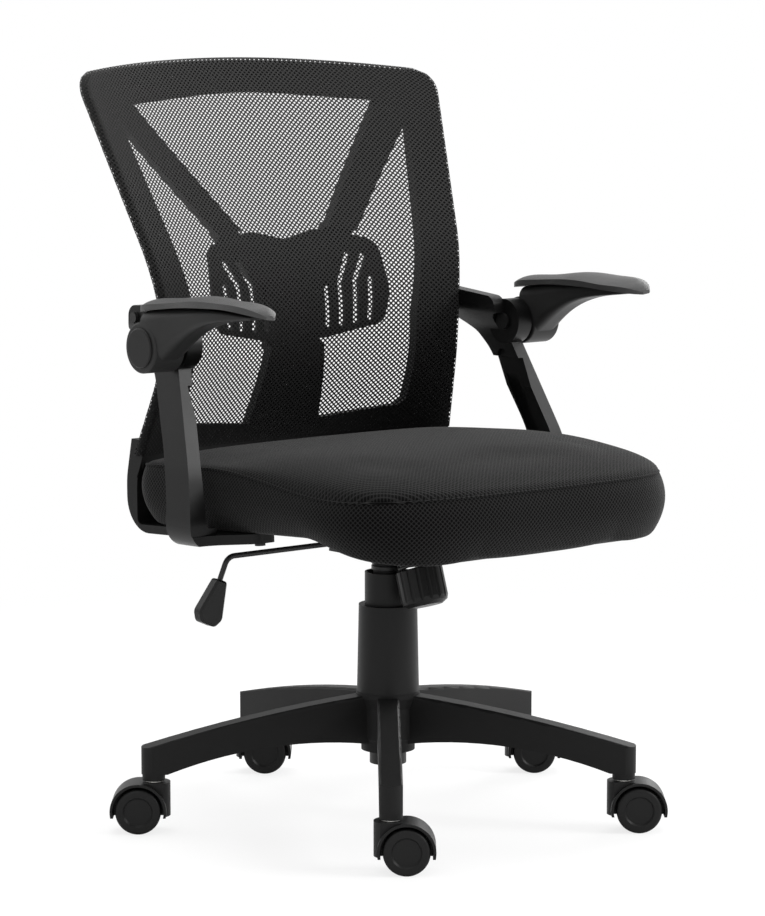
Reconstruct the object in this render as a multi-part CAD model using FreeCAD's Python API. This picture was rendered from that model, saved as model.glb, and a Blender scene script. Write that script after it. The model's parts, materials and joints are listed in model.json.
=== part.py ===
import FreeCAD, Part
import math
import os

# Office chair: star base on twin-wheel casters, gas lift, tilt mechanism, padded seat,
# net back on a moulded frame and flip-up armrests.
# Millimetres. Origin on the floor under the column, +Z up, the chair faces -Y.

Vec = FreeCAD.Vector

# Clearances
running_gap = 0.05        # radial play of a shaft in its hole
moving_gap = 0.5          # between faces of pieces that move past each other
seat_gap = 0.3            # between pieces that rest side by side

# Star base
leg_count = 5
first_leg_angle = -129.35  # about Z from +X
caster_circle = 282.0      # radius of the caster stems
leg_width = 26.0
leg_root = 20.0            # legs start inside the hub
leg_tip_reach = 14.0       # leg beyond the stem
leg_root_top = 146.0
leg_tip_top = 98.0
leg_top_bow = 6.0
leg_root_bottom = 85.0
leg_arch_top = 92.0
leg_tip_bottom = 67.0
leg_wall = 3.5
leg_rib_count = 5
leg_rib = 2.5
leg_edge_radius = 3.0
socket_radius = 13.0
socket_bottom = 60.0
socket_bore = 7.5
socket_depth = 34.0
hub_radius = 33.0
hub_top_radius = 37.0
hub_ring_radius = 31.3
hub_bottom = 77.0

# Casters
wheel_radius = 26.0
wheel_width = 18.0
wheel_rim_radius = 4.0
wheel_dish = 2.0
caster_trail = 17.0
hood_web = 7.0
hood_wall = 3.0
hood_play = 3.2            # hood to tread
hood_low = -7.0            # hood edge from the axle
axle_radius = 3.0
stem_radius = 5.5
stem_shoulder = 53.0       # thick part of the stem starts above the wheels
stem_shank = 3.0
stem_boss_radius = 19.0    # rounded block round the stem
stem_block_half = 15.0
trail_angle = -40.0        # direction of the trailing wheels, about Z from +X
left_caster = 4            # this one trails the other way

# Column
stand_radius = 25.0
stand_wall = 1.8
stand_top = 275.0
stand_taper_radius = 24.0
stand_end_radius = 21.4
stand_bottom = 61.0
end_plate = 4.0
sleeve_wall = 2.0
sleeve_top = 286.0
cover_top_radius = 34.0
cover_bottom_radius = 36.2
cover_wall = 2.2
cover_top = 248.0
bush_length = 60.0
bush_flange = 3.0
tube_radius = 14.0
tube_wall = 1.5
tube_top_radius = 13.2
tube_top = 315.0
tube_bottom = 93.0
tube_taper_start = 279.0
tube_end_cap = 12.0
lift_stroke = 90.0
rod_radius = 5.0
piston_length = 12.0
race_thick = 2.0
ball_radius = 2.0
ball_count = 8
bump_length = 8.0
valve_radius = 4.0
valve_length = 14.0

# Tilt mechanism
neck_radius = 17.0
neck_bottom = 278.0
neck_ring_radius = 19.4
housing_plate_z = 307.0
housing_sheet = 3.0
housing_half_width = 41.0
housing_rear = 58.0
housing_wall_top = 336.0
pivot_y = 36.0
pivot_z = 322.0
pivot_radius = 5.0
pivot_head = 7.5
lever_z = 326.5
lever_radius = 3.1
lever_fulcrum = 46.0       # distance of the lever bush from the column axis
lever_tip = 15.0
lever_bend_x = -233.0
lever_bend_radius = 14.0
lever_drop_angle = 24.0    # lower leg of the lever from the vertical
lever_drop = 56.0
grip_length = 52.0
grip_top_half = 7.0
grip_bottom_half = 17.5
grip_thick = 15.0
bush_radius = 6.2
bush_block = 22.0
knob_lean = 18.0           # degrees, foot of the knob towards the front
knob_foot_y = -68.0
knob_foot_z = 254.0
knob_radius = 27.3
knob_height = 43.0
knob_wall = 2.6
knob_floor = 8.0
knob_flutes = 16
knob_flute_radius = 3.0
knob_boss = 8.0
nose_height = 66.0         # nose plate along the knob axis
nose_half = 31.0
bolt_radius = 4.0
bolt_slot_half = 13.0
shelf_height = 84.0
bolt_head_radius = 7.0
bolt_head = 5.0
spring_wire = 1.7          # radius
spring_turns = 11

# Seat
seat_pitch = 3.4           # front up
seat_under = 353.0         # underside of the seat board on the column axis
board_thick = 12.0
board_half_width = 220.0
board_front = -252.0
board_rear = 166.0
board_corner = 90.0
fall_start = -150.0        # the board bends down in front of this line
fall_radius = 190.0
cushion_half_width = 239.0
cushion_front = -281.0
cushion_rear = 173.0
cushion_height = 79.0
cushion_crown = 9.0
cushion_bulge = 6.0
cushion_tuck = 10.0        # sides drawn in under the seat
cushion_waist = 4.0        # sides pulled in between the corners
cushion_front_round = 5.0  # plan exponents of the front and rear corners
cushion_rear_round = 24.0
cushion_low_round = 12.0   # side-view exponents of the lower and upper end edges
cushion_high_round = 30.0
roll_start = -40.0         # the top rolls down in front of this line
roll_radius = 798.0
plate_half_x = 70.0
plate_front = -78.0
plate_rear = 92.0
plate_thick = 3.0
plate_bolt_x = 58.0
plate_bolt_front = -62.0
plate_bolt_rear = 76.0
screw_radius = 3.0
screw_head_radius = 6.0
screw_head = 4.0
nut_radius = 4.2
nut_flange_radius = 9.0
nut_flange = 1.5

# Back
back_curve = 640.0         # horizontal radius of the backrest
lumbar_z = 569.0
lumbar_y = 126.5
lumbar_radius = 260.0
upper_lean = 22.9
lower_lean = 17.5
waist_z = 551.0
waist_half = 217.8
waist_radius = 415.0
upper_flare = 9.93
lower_flare = 8.5
back_top = 872.0
back_corner_z = 855.0
back_corner_radius = 24.0
back_low = 399.0
net_low = 423.0
net_thick = 1.2
net_inset = 1.5
net_room = 40.0            # depth kept clear of the frame in front of the net
ring_thick = 13.0
strut_back = 10.5          # front of the recess behind the net
strut_thick = 10.0
strut_rib = 7.0
strut_rib_width = 10.0
pad_back = 4.0
pad_thick = 4.5
pad_margin = 5.0           # recess beyond the pad's outline
pad_post_radius = 7.0
pad_post_heights = (573.0, 617.0)
slot_width = 8.5
lug_y = 165.0
lug_z = 583.0
lug_radius = 12.0
lug_inner = 196.0
lug_outer = 220.0
foot_inner = 150.0
foot_outer = 228.0
foot_thick = 10.0
foot_front = 62.0
foot_bolt_y = 82.0

# Arms
arm_pivot_y = 65.0
arm_pivot_z = 559.0
arm_pin_radius = 6.0
arm_head_radius = 10.0
arm_boss_radius = 27.0
arm_spigot_radius = 22.5
arm_boss_inner = 237.0
arm_boss_outer = 258.0
arm_spigot_outer = 260.2
arm_knuckle_radius = 28.5
arm_body_inner = 262.0
arm_body_outer = 303.0
arm_cap_radius = 22.4
arm_cap = 3.5
arm_eye_thick = 17.0
arm_foot_thick = 11.0
arm_foot_inner = 196.0
foot_bed_half = 60.0       # flat strip under the cushion, over the arm feet
arm_foot_bolts = ((208.0, -26.0), (208.0, 32.0))
arm_channel_depth = 3.0
pad_centre_x = 279.0
pad_board = 9.0
pad_crown = 3.0


# Small solids

def box(x0, x1, y0, y1, z0, z1):
    return Part.makeBox(x1 - x0, y1 - y0, z1 - z0, Vec(x0, y0, z0))


def post(start, end, radius):
    along = end - start
    return Part.makeCylinder(radius, along.Length, start, along)


def tube(outer, inner, z0, z1):
    shell = post(Vec(0, 0, z0), Vec(0, 0, z1), outer)
    return shell.cut(post(Vec(0, 0, z0), Vec(0, 0, z1), inner))


def turned(profile):
    # solid of revolution about Z from a closed (radius, z) outline
    corners = [Vec(r, 0, z) for r, z in profile]
    face = Part.Face(Part.makePolygon(corners + corners[:1]))
    return face.revolve(Vec(0, 0, 0), Vec(0, 0, 1), 360)


def fused(shapes):
    whole = shapes[0].multiFuse(shapes[1:])
    return whole.removeSplitter()


def mirrored(shape):
    return shape.mirror(Vec(0, 0, 0), Vec(1, 0, 0))


# Outlines on the three main planes

def front(a, b):
    return Vec(a, 0, b)


def side(a, b):
    return Vec(0, a, b)


def plan(a, b):
    return Vec(a, b, 0)


def rounded_wire(corners, place):
    # closed outline through (a, b, radius) corners, each rounded by its own arc
    starts = []
    middles = []
    ends = []
    count = len(corners)
    for i in range(count):
        a, b, radius = corners[i]
        here = Vec(a, b, 0)
        before = Vec(corners[i - 1][0], corners[i - 1][1], 0) - here
        after = Vec(corners[(i + 1) % count][0], corners[(i + 1) % count][1], 0) - here
        before.normalize()
        after.normalize()
        half = before.getAngle(after) / 2
        inward = before + after
        inward.normalize()
        reach = radius / math.tan(half)
        starts.append(here + before * reach)
        ends.append(here + after * reach)
        middles.append(here + inward * (radius / math.sin(half) - radius))
    edges = []
    for i in range(count):
        begin = ends[i - 1]
        if begin.distanceToPoint(starts[i]) > 1e-6:
            edges.append(Part.LineSegment(place(begin.x, begin.y), place(starts[i].x, starts[i].y)).toShape())
        if corners[i][2] > 0:
            points = [place(p.x, p.y) for p in (starts[i], middles[i], ends[i])]
            edges.append(Part.Arc(*points).toShape())
    return Part.Wire(edges)


def capsule(start, end, width, place):
    # slot outline round the straight run from start to end
    run = Vec(end[0] - start[0], end[1] - start[1], 0)
    run.normalize()
    along = run * (width / 2)
    across = Vec(-run.y, run.x, 0) * (width / 2)
    a = Vec(start[0], start[1], 0)
    b = Vec(end[0], end[1], 0)
    spots = [a + across, b + across, b + along, b - across, a - across, a - along]
    p = [place(s.x, s.y) for s in spots]
    return Part.Wire([
        Part.LineSegment(p[0], p[1]).toShape(),
        Part.Arc(p[1], p[2], p[3]).toShape(),
        Part.LineSegment(p[3], p[4]).toShape(),
        Part.Arc(p[4], p[5], p[0]).toShape(),
    ])


def slab(wire, direction, low, high):
    # outline pushed along a main direction from low to high
    face = Part.Face(wire)
    face.translate(direction * low)
    return face.extrude(direction * (high - low))


x_axis = Vec(1, 0, 0)
y_axis = Vec(0, 1, 0)
z_axis = Vec(0, 0, 1)


# Star base and casters

def leg_top(r):
    tip = caster_circle + leg_tip_reach
    share = r / tip
    bow = 4 * leg_top_bow * share * (1 - share)
    return leg_root_top + (leg_tip_top - leg_root_top) * share + bow


def leg_direction(k):
    return first_leg_angle + k * 360.0 / leg_count


def leg_solid():
    # one leg along +X, bowed above, arched below and open underneath between ribs
    tip = caster_circle + leg_tip_reach
    arch_mid = 0.4 * caster_circle
    arch_end = caster_circle - socket_radius
    middle = (leg_root + tip) / 2
    ends = [Vec(leg_root, 0, leg_top(leg_root)), Vec(tip, 0, leg_tip_top), Vec(tip, 0, leg_tip_bottom),
            Vec(arch_end, 0, leg_tip_bottom), Vec(leg_root, 0, leg_root_bottom)]
    edges = [
        Part.Arc(ends[0], Vec(middle, 0, leg_top(middle)), ends[1]).toShape(),
        Part.LineSegment(ends[1], ends[2]).toShape(),
        Part.LineSegment(ends[2], ends[3]).toShape(),
        Part.Arc(ends[3], Vec(arch_mid, 0, leg_arch_top), ends[4]).toShape(),
        Part.LineSegment(ends[4], ends[0]).toShape(),
    ]
    leg = slab(Part.Wire(edges), y_axis, -leg_width / 2, leg_width / 2)
    leg = leg.makeFillet(leg_edge_radius, [e for e in leg.Edges if is_top_edge(e)])
    nose = post(Vec(caster_circle, 0, leg_tip_bottom), Vec(caster_circle, 0, leg_tip_top + 5), leg_tip_reach)
    corner = box(caster_circle, tip + 1, -leg_width, leg_width, leg_tip_bottom - 1, leg_tip_top + 5)
    leg = leg.cut(corner.cut(nose))
    inner = leg_width / 2 - leg_wall
    bay_start = hub_radius + leg_rib
    bay = (arch_end - leg_rib - bay_start) / leg_rib_count
    pockets = []
    for i in range(leg_rib_count):
        r0 = bay_start + i * bay
        r1 = r0 + bay - leg_rib
        roof = [(r0, leg_top(r0) - leg_wall, 0), (r1, leg_top(r1) - leg_wall, 0), (r1, hub_bottom - 20, 0),
                (r0, hub_bottom - 20, 0)]
        pockets.append(slab(rounded_wire(roof, front), y_axis, -inner, inner))
    leg = leg.cut(Part.makeCompound(pockets))
    boss = post(Vec(caster_circle, 0, socket_bottom), Vec(caster_circle, 0, leg_tip_top - leg_wall), socket_radius)
    return leg.fuse(boss)


def is_top_edge(edge):
    return edge.BoundBox.ZMin > leg_tip_bottom + 1 and edge.BoundBox.YLength < 0.01 and edge.Length > caster_circle - 2 * leg_root


def stem_top():
    return socket_bottom + socket_depth


def make_star_base():
    hub = turned([(0, hub_bottom), (hub_ring_radius, hub_bottom), (hub_ring_radius, leg_root_bottom + 4),
                  (hub_radius, leg_arch_top), (hub_radius, leg_root_top - 18), (hub_top_radius, leg_root_top - 6),
                  (hub_top_radius, leg_root_top), (0, leg_root_top)])
    leg = leg_solid()
    pieces = [hub]
    for k in range(leg_count):
        copy = leg.copy()
        copy.rotate(Vec(0, 0, 0), z_axis, leg_direction(k))
        pieces.append(copy)
    star = pieces[0].multiFuse(pieces[1:])
    bore = turned([(0, hub_bottom - 1), (stand_taper_radius, hub_bottom - 1), (stand_taper_radius, hub_bottom),
                   (stand_radius, leg_root_top), (stand_radius, leg_root_top + 20), (0, leg_root_top + 20)])
    star = star.cut(bore)
    for k in range(leg_count):
        hole = post(Vec(caster_circle, 0, socket_bottom - 1), Vec(caster_circle, 0, stem_top()), socket_bore)
        hole.rotate(Vec(0, 0, 0), z_axis, leg_direction(k))
        star = star.cut(hole)
    return star


def make_caster_sockets():
    # split sleeves pressed into the leg ends, closed at the top
    sleeves = []
    for k in range(leg_count):
        sleeve = tube(socket_bore, stem_radius + running_gap, socket_bottom, stem_top())
        sleeve = sleeve.fuse(tube(socket_bore + 3, stem_radius + running_gap, socket_bottom - 1.5, socket_bottom))
        sleeve.translate(Vec(caster_circle, 0, 0))
        sleeve.rotate(Vec(0, 0, 0), z_axis, leg_direction(k))
        sleeves.append(sleeve)
    return Part.makeCompound(sleeves)


def caster_place(shape, k):
    # local frame: stem on Z at the origin, axle at +X
    turn = trail_angle + (180 if k == left_caster else 0)
    angle = math.radians(leg_direction(k))
    shape.rotate(Vec(0, 0, 0), z_axis, turn)
    shape.translate(Vec(caster_circle * math.cos(angle), caster_circle * math.sin(angle), 0))
    return shape


def axle_point(y):
    return Vec(caster_trail, y, wheel_radius)


def hood_top():
    return socket_bottom - 1.5 - moving_gap


def half_caster():
    return hood_web / 2 + moving_gap + wheel_width


def caster_stem(top):
    # thick in the leg's socket, thin in the web between the wheels
    shank = post(Vec(0, 0, wheel_radius + 14), Vec(0, 0, stem_shoulder), stem_shank)
    return fused([shank, post(Vec(0, 0, stem_shoulder), Vec(0, 0, top), stem_radius)])


def make_caster_hood(k):
    # moulded fender over both wheels with a web between them and a round stem housing
    reach = half_caster() - 1.0
    cavity_radius = wheel_radius + hood_play
    fender = post(axle_point(-reach), axle_point(reach), cavity_radius + hood_wall)
    low = wheel_radius + hood_low
    fender = fender.cut(box(-60, 90, -40, 40, -10, low))
    boss = post(Vec(0, 0, low), Vec(0, 0, hood_top()), stem_boss_radius)
    boss = boss.common(box(-30, caster_trail, -stem_block_half, stem_block_half, low, 90))
    web = post(axle_point(-hood_web / 2), axle_point(hood_web / 2), wheel_radius - 6)
    hood = fused([fender, boss, web])
    for sign in (-1, 1):
        inner = axle_point(sign * hood_web / 2)
        outer = axle_point(sign * (reach + 20))
        hood = hood.cut(post(inner, outer, cavity_radius))
    hood = hood.cut(post(axle_point(-40), axle_point(40), axle_radius))
    return caster_place(hood.cut(caster_stem(90)), k)


def make_caster_pins(k):
    stem = caster_stem(stem_top() - moving_gap)
    groove = tube(stem_radius + 1, stem_radius - 0.8, stem_top() - 8, stem_top() - 6)
    tip = half_caster() - 3.0
    axle = post(axle_point(-tip), axle_point(tip), axle_radius)
    return caster_place(Part.makeCompound([stem.cut(groove), axle]), k)


def make_caster_wheel(k, sign):
    # tread, dished outer face and a hub that the axle ends in
    inner = hood_web / 2 + moving_gap
    wheel = post(Vec(0, 0, 0), Vec(0, 0, wheel_width), wheel_radius)
    rims = [e for e in wheel.Edges if e.Curve.TypeId == "Part::GeomCircle"]
    wheel = wheel.makeFillet(wheel_rim_radius, rims)
    dish_radius = wheel_radius - 2.2 * wheel_rim_radius
    dish = turned([(0, wheel_width - wheel_dish), (dish_radius - wheel_dish, wheel_width - wheel_dish),
                   (dish_radius, wheel_width), (dish_radius, wheel_width + 1), (0, wheel_width + 1)])
    back = tube(dish_radius, axle_radius + 4, -1, wheel_width / 2)
    bore = post(Vec(0, 0, -1), Vec(0, 0, wheel_width - 2.5), axle_radius + running_gap)
    wheel = wheel.cut(Part.makeCompound([dish, back])).cut(bore)
    wheel.rotate(Vec(0, 0, 0), x_axis, -90 * sign)
    wheel.translate(axle_point(sign * inner))
    return caster_place(wheel, k)


# Gas lift

def race_top():
    return stand_bottom + end_plate + race_thick


def balls_top():
    return race_top() + 2 * seat_gap + 2 * ball_radius


def make_stand_tube():
    inner = stand_radius - stand_wall
    end_inner = stand_end_radius - stand_wall
    shoulder = hub_bottom
    shell = turned([(rod_radius + 1.5, stand_bottom), (stand_end_radius, stand_bottom),
                    (stand_end_radius, shoulder - 2), (stand_taper_radius, shoulder),
                    (stand_radius, leg_root_top), (stand_radius, stand_top), (inner, stand_top),
                    (inner, leg_root_top), (end_inner, shoulder + 4), (end_inner, stand_bottom + end_plate),
                    (rod_radius + 1.5, stand_bottom + end_plate)])
    return shell


def make_guide_bush():
    outer = stand_radius - stand_wall
    bush = tube(outer, tube_radius + running_gap, stand_top - bush_length, stand_top)
    relief = tube(outer + 1, outer - 2, stand_top - 0.75 * bush_length, stand_top - 0.25 * bush_length)
    flange = tube(stand_radius, tube_radius + running_gap, stand_top, stand_top + bush_flange - 1)
    return bush.cut(relief).fuse(flange)


def make_column_sleeve():
    sleeve = tube(stand_radius + sleeve_wall, stand_radius + running_gap, leg_root_top, sleeve_top)
    return sleeve


def make_dust_cover():
    # tapered skirt standing on the hub, with a lip inwards at its top
    lip_inner = stand_radius + sleeve_wall + running_gap
    return turned([(cover_bottom_radius - cover_wall, leg_root_top), (cover_bottom_radius, leg_root_top),
                   (cover_top_radius, cover_top), (lip_inner, cover_top), (lip_inner, cover_top - cover_wall),
                   (cover_top_radius - cover_wall, cover_top - cover_wall)])


def make_thrust_race():
    return tube(stand_end_radius - stand_wall - seat_gap, rod_radius + 1.5, stand_bottom + end_plate, race_top())


def make_piston_rod():
    # carried by the thrust bearing and held by a clip under the end plate
    top = tube_bottom + tube_end_cap + lift_stroke + 1 + piston_length
    rod = post(Vec(0, 0, stand_bottom - 7), Vec(0, 0, top), rod_radius)
    clip = post(Vec(0, 0, stand_bottom - 3.5), Vec(0, 0, stand_bottom - moving_gap), rod_radius + 4)
    return rod.fuse(clip)


def make_piston():
    low = tube_bottom + tube_end_cap + lift_stroke + 1
    outer = tube_radius - tube_wall - running_gap
    piston = tube(outer, rod_radius, low, low + piston_length)
    groove = tube(outer + 1, outer - 1.5, low + 4, low + 7)
    return piston.cut(groove)


def make_thrust_bearing():
    # upper race on the rod, and the ring of balls under it
    low = balls_top() - seat_gap
    pieces = [tube(stand_end_radius - stand_wall - 2, rod_radius, balls_top(), balls_top() + race_thick)]
    ring = (stand_end_radius - stand_wall + rod_radius) / 2
    for i in range(ball_count):
        angle = 2 * math.pi * i / ball_count
        spot = Vec(ring * math.cos(angle), ring * math.sin(angle), low - ball_radius)
        pieces.append(Part.makeSphere(ball_radius, spot))
    return Part.makeCompound(pieces)


def make_bump_stop():
    low = balls_top() + race_thick
    return turned([(rod_radius, low), (rod_radius + 7, low), (rod_radius + 5, low + bump_length),
                   (rod_radius, low + bump_length)])


def make_pressure_tube():
    inner = tube_radius - tube_wall
    return turned([(inner, tube_bottom), (tube_radius, tube_bottom), (tube_radius, tube_taper_start),
                   (tube_top_radius, tube_top), (valve_radius + running_gap, tube_top),
                   (valve_radius + running_gap, tube_top - 8), (inner, tube_top - 8)])


def make_rod_guide():
    return tube(tube_radius - tube_wall, rod_radius + running_gap, tube_bottom, tube_bottom + tube_end_cap)


def make_valve_button():
    top = lever_z - lever_radius - 2 * seat_gap
    return post(Vec(0, 0, top - valve_length), Vec(0, 0, top), valve_radius)


# Tilt mechanism

def along_knob(shape):
    # from a frame with the knob's axis on Z to its place
    shape.rotate(Vec(0, 0, 0), x_axis, -knob_lean)
    shape.translate(Vec(0, knob_foot_y, knob_foot_z))
    return shape


def make_tilt_housing():
    # pressed channel with a raised nose for the tension bolt, a taper socket and a lever block
    inner_wall = housing_half_width - housing_sheet
    floor_top = housing_plate_z + housing_sheet
    nose = box(-housing_half_width, housing_half_width, -nose_half, nose_half, nose_height,
               nose_height + housing_sheet)
    nose = along_knob(nose)
    lean = math.radians(knob_lean)
    nose_rear_y = knob_foot_y + nose_height * math.sin(lean) + nose_half * math.cos(lean)
    nose_front_y = knob_foot_y + nose_height * math.sin(lean) - nose_half * math.cos(lean)
    nose_front_z = knob_foot_z + nose_height * math.cos(lean) + nose_half * math.sin(lean)
    floor = box(-housing_half_width, housing_half_width, nose_rear_y - 4, housing_rear, housing_plate_z, floor_top)
    wall_outline = [(nose_front_y + 1, nose_front_z, 0), (nose_rear_y, housing_plate_z, 0),
                    (housing_rear, housing_plate_z, 8), (housing_rear, housing_wall_top, 10),
                    (nose_front_y + 14, housing_wall_top, 10)]
    walls = []
    for x0 in (-housing_half_width, inner_wall):
        walls.append(slab(rounded_wire(wall_outline, side), x_axis, x0, x0 + housing_sheet))
    neck = turned([(0, neck_bottom), (neck_radius, neck_bottom), (neck_radius, neck_bottom + 10),
                   (neck_ring_radius, neck_bottom + 11), (neck_ring_radius, neck_bottom + 15),
                   (neck_radius + 1, neck_bottom + 16), (neck_radius + 10, housing_plate_z),
                   (neck_radius + 10, floor_top), (0, floor_top)])
    block = box(-lever_fulcrum - 8, -inner_wall, -bush_block / 2, bush_block / 2, lever_z - 10, lever_z + 9.4)
    housing = fused([floor, nose, neck, block] + walls)
    socket = turned([(0, neck_bottom - 1), (tube_radius, neck_bottom - 1), (tube_radius, tube_taper_start),
                     (tube_top_radius, tube_top), (0, tube_top)])
    bolt_slot = slab(capsule((0, -bolt_slot_half), (0, bolt_slot_half), 2 * (bolt_radius + 1.5), plan), z_axis,
                     nose_height - 5, nose_height + 12)
    bush_bore = post(Vec(-lever_fulcrum, -40, lever_z), Vec(-lever_fulcrum, 40, lever_z), bush_radius + running_gap)
    swing = lever_radius + 1.4
    lever_way = box(-80, -20, -swing, swing, lever_z - swing, lever_z + swing)
    pin_hole = post(Vec(-80, pivot_y, pivot_z), Vec(80, pivot_y, pivot_z), pivot_radius + running_gap)
    return housing.cut(Part.makeCompound([socket, along_knob(bolt_slot), bush_bore])).cut(lever_way).cut(pin_hole)


def ear_inner():
    return housing_half_width + moving_gap


def make_pivot_pin():
    end = ear_inner() + plate_thick + moving_gap
    pin = post(Vec(-end, pivot_y, pivot_z), Vec(end, pivot_y, pivot_z), pivot_radius)
    heads = []
    for sign in (-1, 1):
        start = Vec(sign * end, pivot_y, pivot_z)
        heads.append(post(start, start + Vec(sign * 3.5, 0, 0), pivot_head))
    return fused([pin] + heads)


def helix_point(radius, pitch, angle):
    return Vec(radius * math.cos(angle), radius * math.sin(angle), pitch * angle / (2 * math.pi))


def helix_heading(radius, pitch, angle):
    heading = Vec(-radius * math.sin(angle), radius * math.cos(angle), pitch / (2 * math.pi))
    return heading.normalize()


def arc_from(start, heading, end):
    # arc that leaves start along heading and ends at end
    chord = end - start
    length = chord.Length
    chord.normalize()
    lift = heading - chord * heading.dot(chord)
    lift.normalize()
    half = heading.getAngle(chord)
    middle = (start + end) * 0.5 + lift * (length / 2 * math.tan(half / 2))
    return Part.Arc(start, middle, end).toShape()


def quarter_biarc(radius, pitch, angle):
    # two tangent arcs along a quarter turn of a helix
    p0 = helix_point(radius, pitch, angle)
    p1 = helix_point(radius, pitch, angle + math.pi / 2)
    t0 = helix_heading(radius, pitch, angle)
    t1 = helix_heading(radius, pitch, angle + math.pi / 2)
    gap = p1 - p0
    both = t0 + t1
    spread = 2 * (1 - t0.dot(t1))
    reach = (-gap.dot(both) + math.sqrt(gap.dot(both) ** 2 + spread * gap.dot(gap))) / spread
    joint = (p0 + t0 * reach + p1 - t1 * reach) * 0.5
    middle_heading = (p1 - t1 * reach) - (p0 + t0 * reach)
    middle_heading.normalize()
    return [arc_from(p0, t0, joint), arc_from(joint, middle_heading, p1)]


def least_coil_gap(path):
    # measured between points along the wire that lie half a turn apart or more
    per_turn = 24
    points = path.discretize(Number=per_turn * spring_turns)
    least = min((a - b).Length for i, a in enumerate(points) for b in points[i + per_turn // 2:])
    return least - 2 * spring_wire


def make_tension_spring():
    radius = knob_radius - knob_wall - 1.0 - spring_wire
    length = nose_height - knob_floor - 2 * spring_wire - 2 * moving_gap
    pitch = length / spring_turns
    edges = []
    for i in range(4 * spring_turns):
        edges += quarter_biarc(radius, pitch, i * math.pi / 2)
    path = Part.Wire(edges)
    section = Part.Wire(Part.makeCircle(spring_wire, helix_point(radius, pitch, 0), helix_heading(radius, pitch, 0)))
    coil = path.makePipeShell([section], True, False)
    print("tension spring: least gap between turns %.2f mm" % least_coil_gap(path))
    coil.translate(Vec(0, 0, knob_floor + spring_wire + moving_gap))
    return along_knob(coil)


def make_tension_knob():
    # fluted cup with a threaded boss inside
    cup = turned([(0, 0), (knob_radius - 8, 0), (knob_radius - 1.5, 4), (knob_radius, 9), (knob_radius, knob_height - 1),
                  (knob_radius - 1, knob_height), (0, knob_height)])
    hollow = tube(knob_radius - knob_wall, knob_boss, knob_floor, knob_height + 1)
    flutes = []
    for i in range(knob_flutes):
        angle = 2 * math.pi * i / knob_flutes
        spot = Vec(math.cos(angle), math.sin(angle), 0) * (knob_radius + knob_flute_radius - 1.2)
        flutes.append(post(spot + Vec(0, 0, -1), spot + Vec(0, 0, knob_height + 1), knob_flute_radius))
    bore = post(Vec(0, 0, 3), Vec(0, 0, knob_height + 1), bolt_radius + running_gap)
    top = post(Vec(0, 0, knob_height - 12), Vec(0, 0, knob_height + 1), knob_radius - knob_wall)
    return along_knob(cup.cut(hollow).cut(top).cut(Part.makeCompound(flutes)).cut(bore))


def make_tension_bolt():
    head_low = shelf_height + plate_thick
    bolt = post(Vec(0, 0, 5), Vec(0, 0, head_low), bolt_radius)
    head = rounded_wire([(bolt_head_radius * math.cos(i * math.pi / 3), bolt_head_radius * math.sin(i * math.pi / 3), 0)
                         for i in range(6)], plan)
    return along_knob(bolt.fuse(slab(head, z_axis, head_low, head_low + bolt_head)))


def lever_leg(distance):
    # point on the lower leg of the lever, at a distance from the bend
    angle = math.radians(lever_drop_angle)
    return Vec(lever_bend_x - distance * math.sin(angle), 0, lever_z - distance * math.cos(angle))


def make_lever_rod():
    bend = Vec(lever_bend_x, 0, lever_z)
    turn = math.radians(90 - lever_drop_angle)
    reach = lever_bend_radius * math.tan(turn / 2)
    start = Vec(lever_tip, 0, lever_z)
    in_point = bend + Vec(reach, 0, 0)
    out_point = lever_leg(reach)
    end = lever_leg(lever_drop)
    path = Part.Wire([Part.LineSegment(start, in_point).toShape(), arc_from(in_point, Vec(-1, 0, 0), out_point),
                      Part.LineSegment(out_point, end).toShape()])
    section = Part.Wire(Part.makeCircle(lever_radius, start, Vec(-1, 0, 0)))
    return path.makePipeShell([section], True, False)


def make_lever_grip():
    # flat paddle that widens downwards, bored for the rod
    shape = [(-grip_top_half, 0, 4), (grip_top_half, 0, 4), (grip_bottom_half, -grip_length * 0.8, 9),
             (grip_bottom_half * 0.6, -grip_length, 7), (-grip_bottom_half * 0.6, -grip_length, 7),
             (-grip_bottom_half, -grip_length * 0.8, 9)]
    grip = slab(rounded_wire(shape, front), y_axis, -grip_thick / 2, grip_thick / 2)
    broad = [e for e in grip.Edges if e.BoundBox.YLength < 0.01]
    grip = grip.makeChamfer(2.6, broad)
    hole = post(Vec(0, 0, 1), Vec(0, 0, -grip_length * 0.55), lever_radius)
    grip = grip.cut(hole)
    grip.rotate(Vec(0, 0, 0), y_axis, lever_drop_angle)
    grip.translate(lever_leg(lever_drop - grip_length * 0.55))
    return grip


def make_lever_bush():
    half = bush_block / 2
    bush = post(Vec(-lever_fulcrum, -half, lever_z), Vec(-lever_fulcrum, half, lever_z), bush_radius)
    return bush.cut(post(Vec(-80, 0, lever_z), Vec(0, 0, lever_z), lever_radius + running_gap))


# Seat

def tilted(shape):
    # from a frame with the board's underside on the XY plane to its place
    shape.rotate(Vec(0, 0, 0), x_axis, -seat_pitch)
    shape.translate(Vec(0, 0, seat_under))
    return shape


def under_board(y):
    return seat_under - y * math.tan(math.radians(seat_pitch))


def fall(y):
    # drop of the board's underside in front of the bend
    run = max(0.0, fall_start - y)
    return fall_radius - math.sqrt(fall_radius ** 2 - run ** 2)


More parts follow.
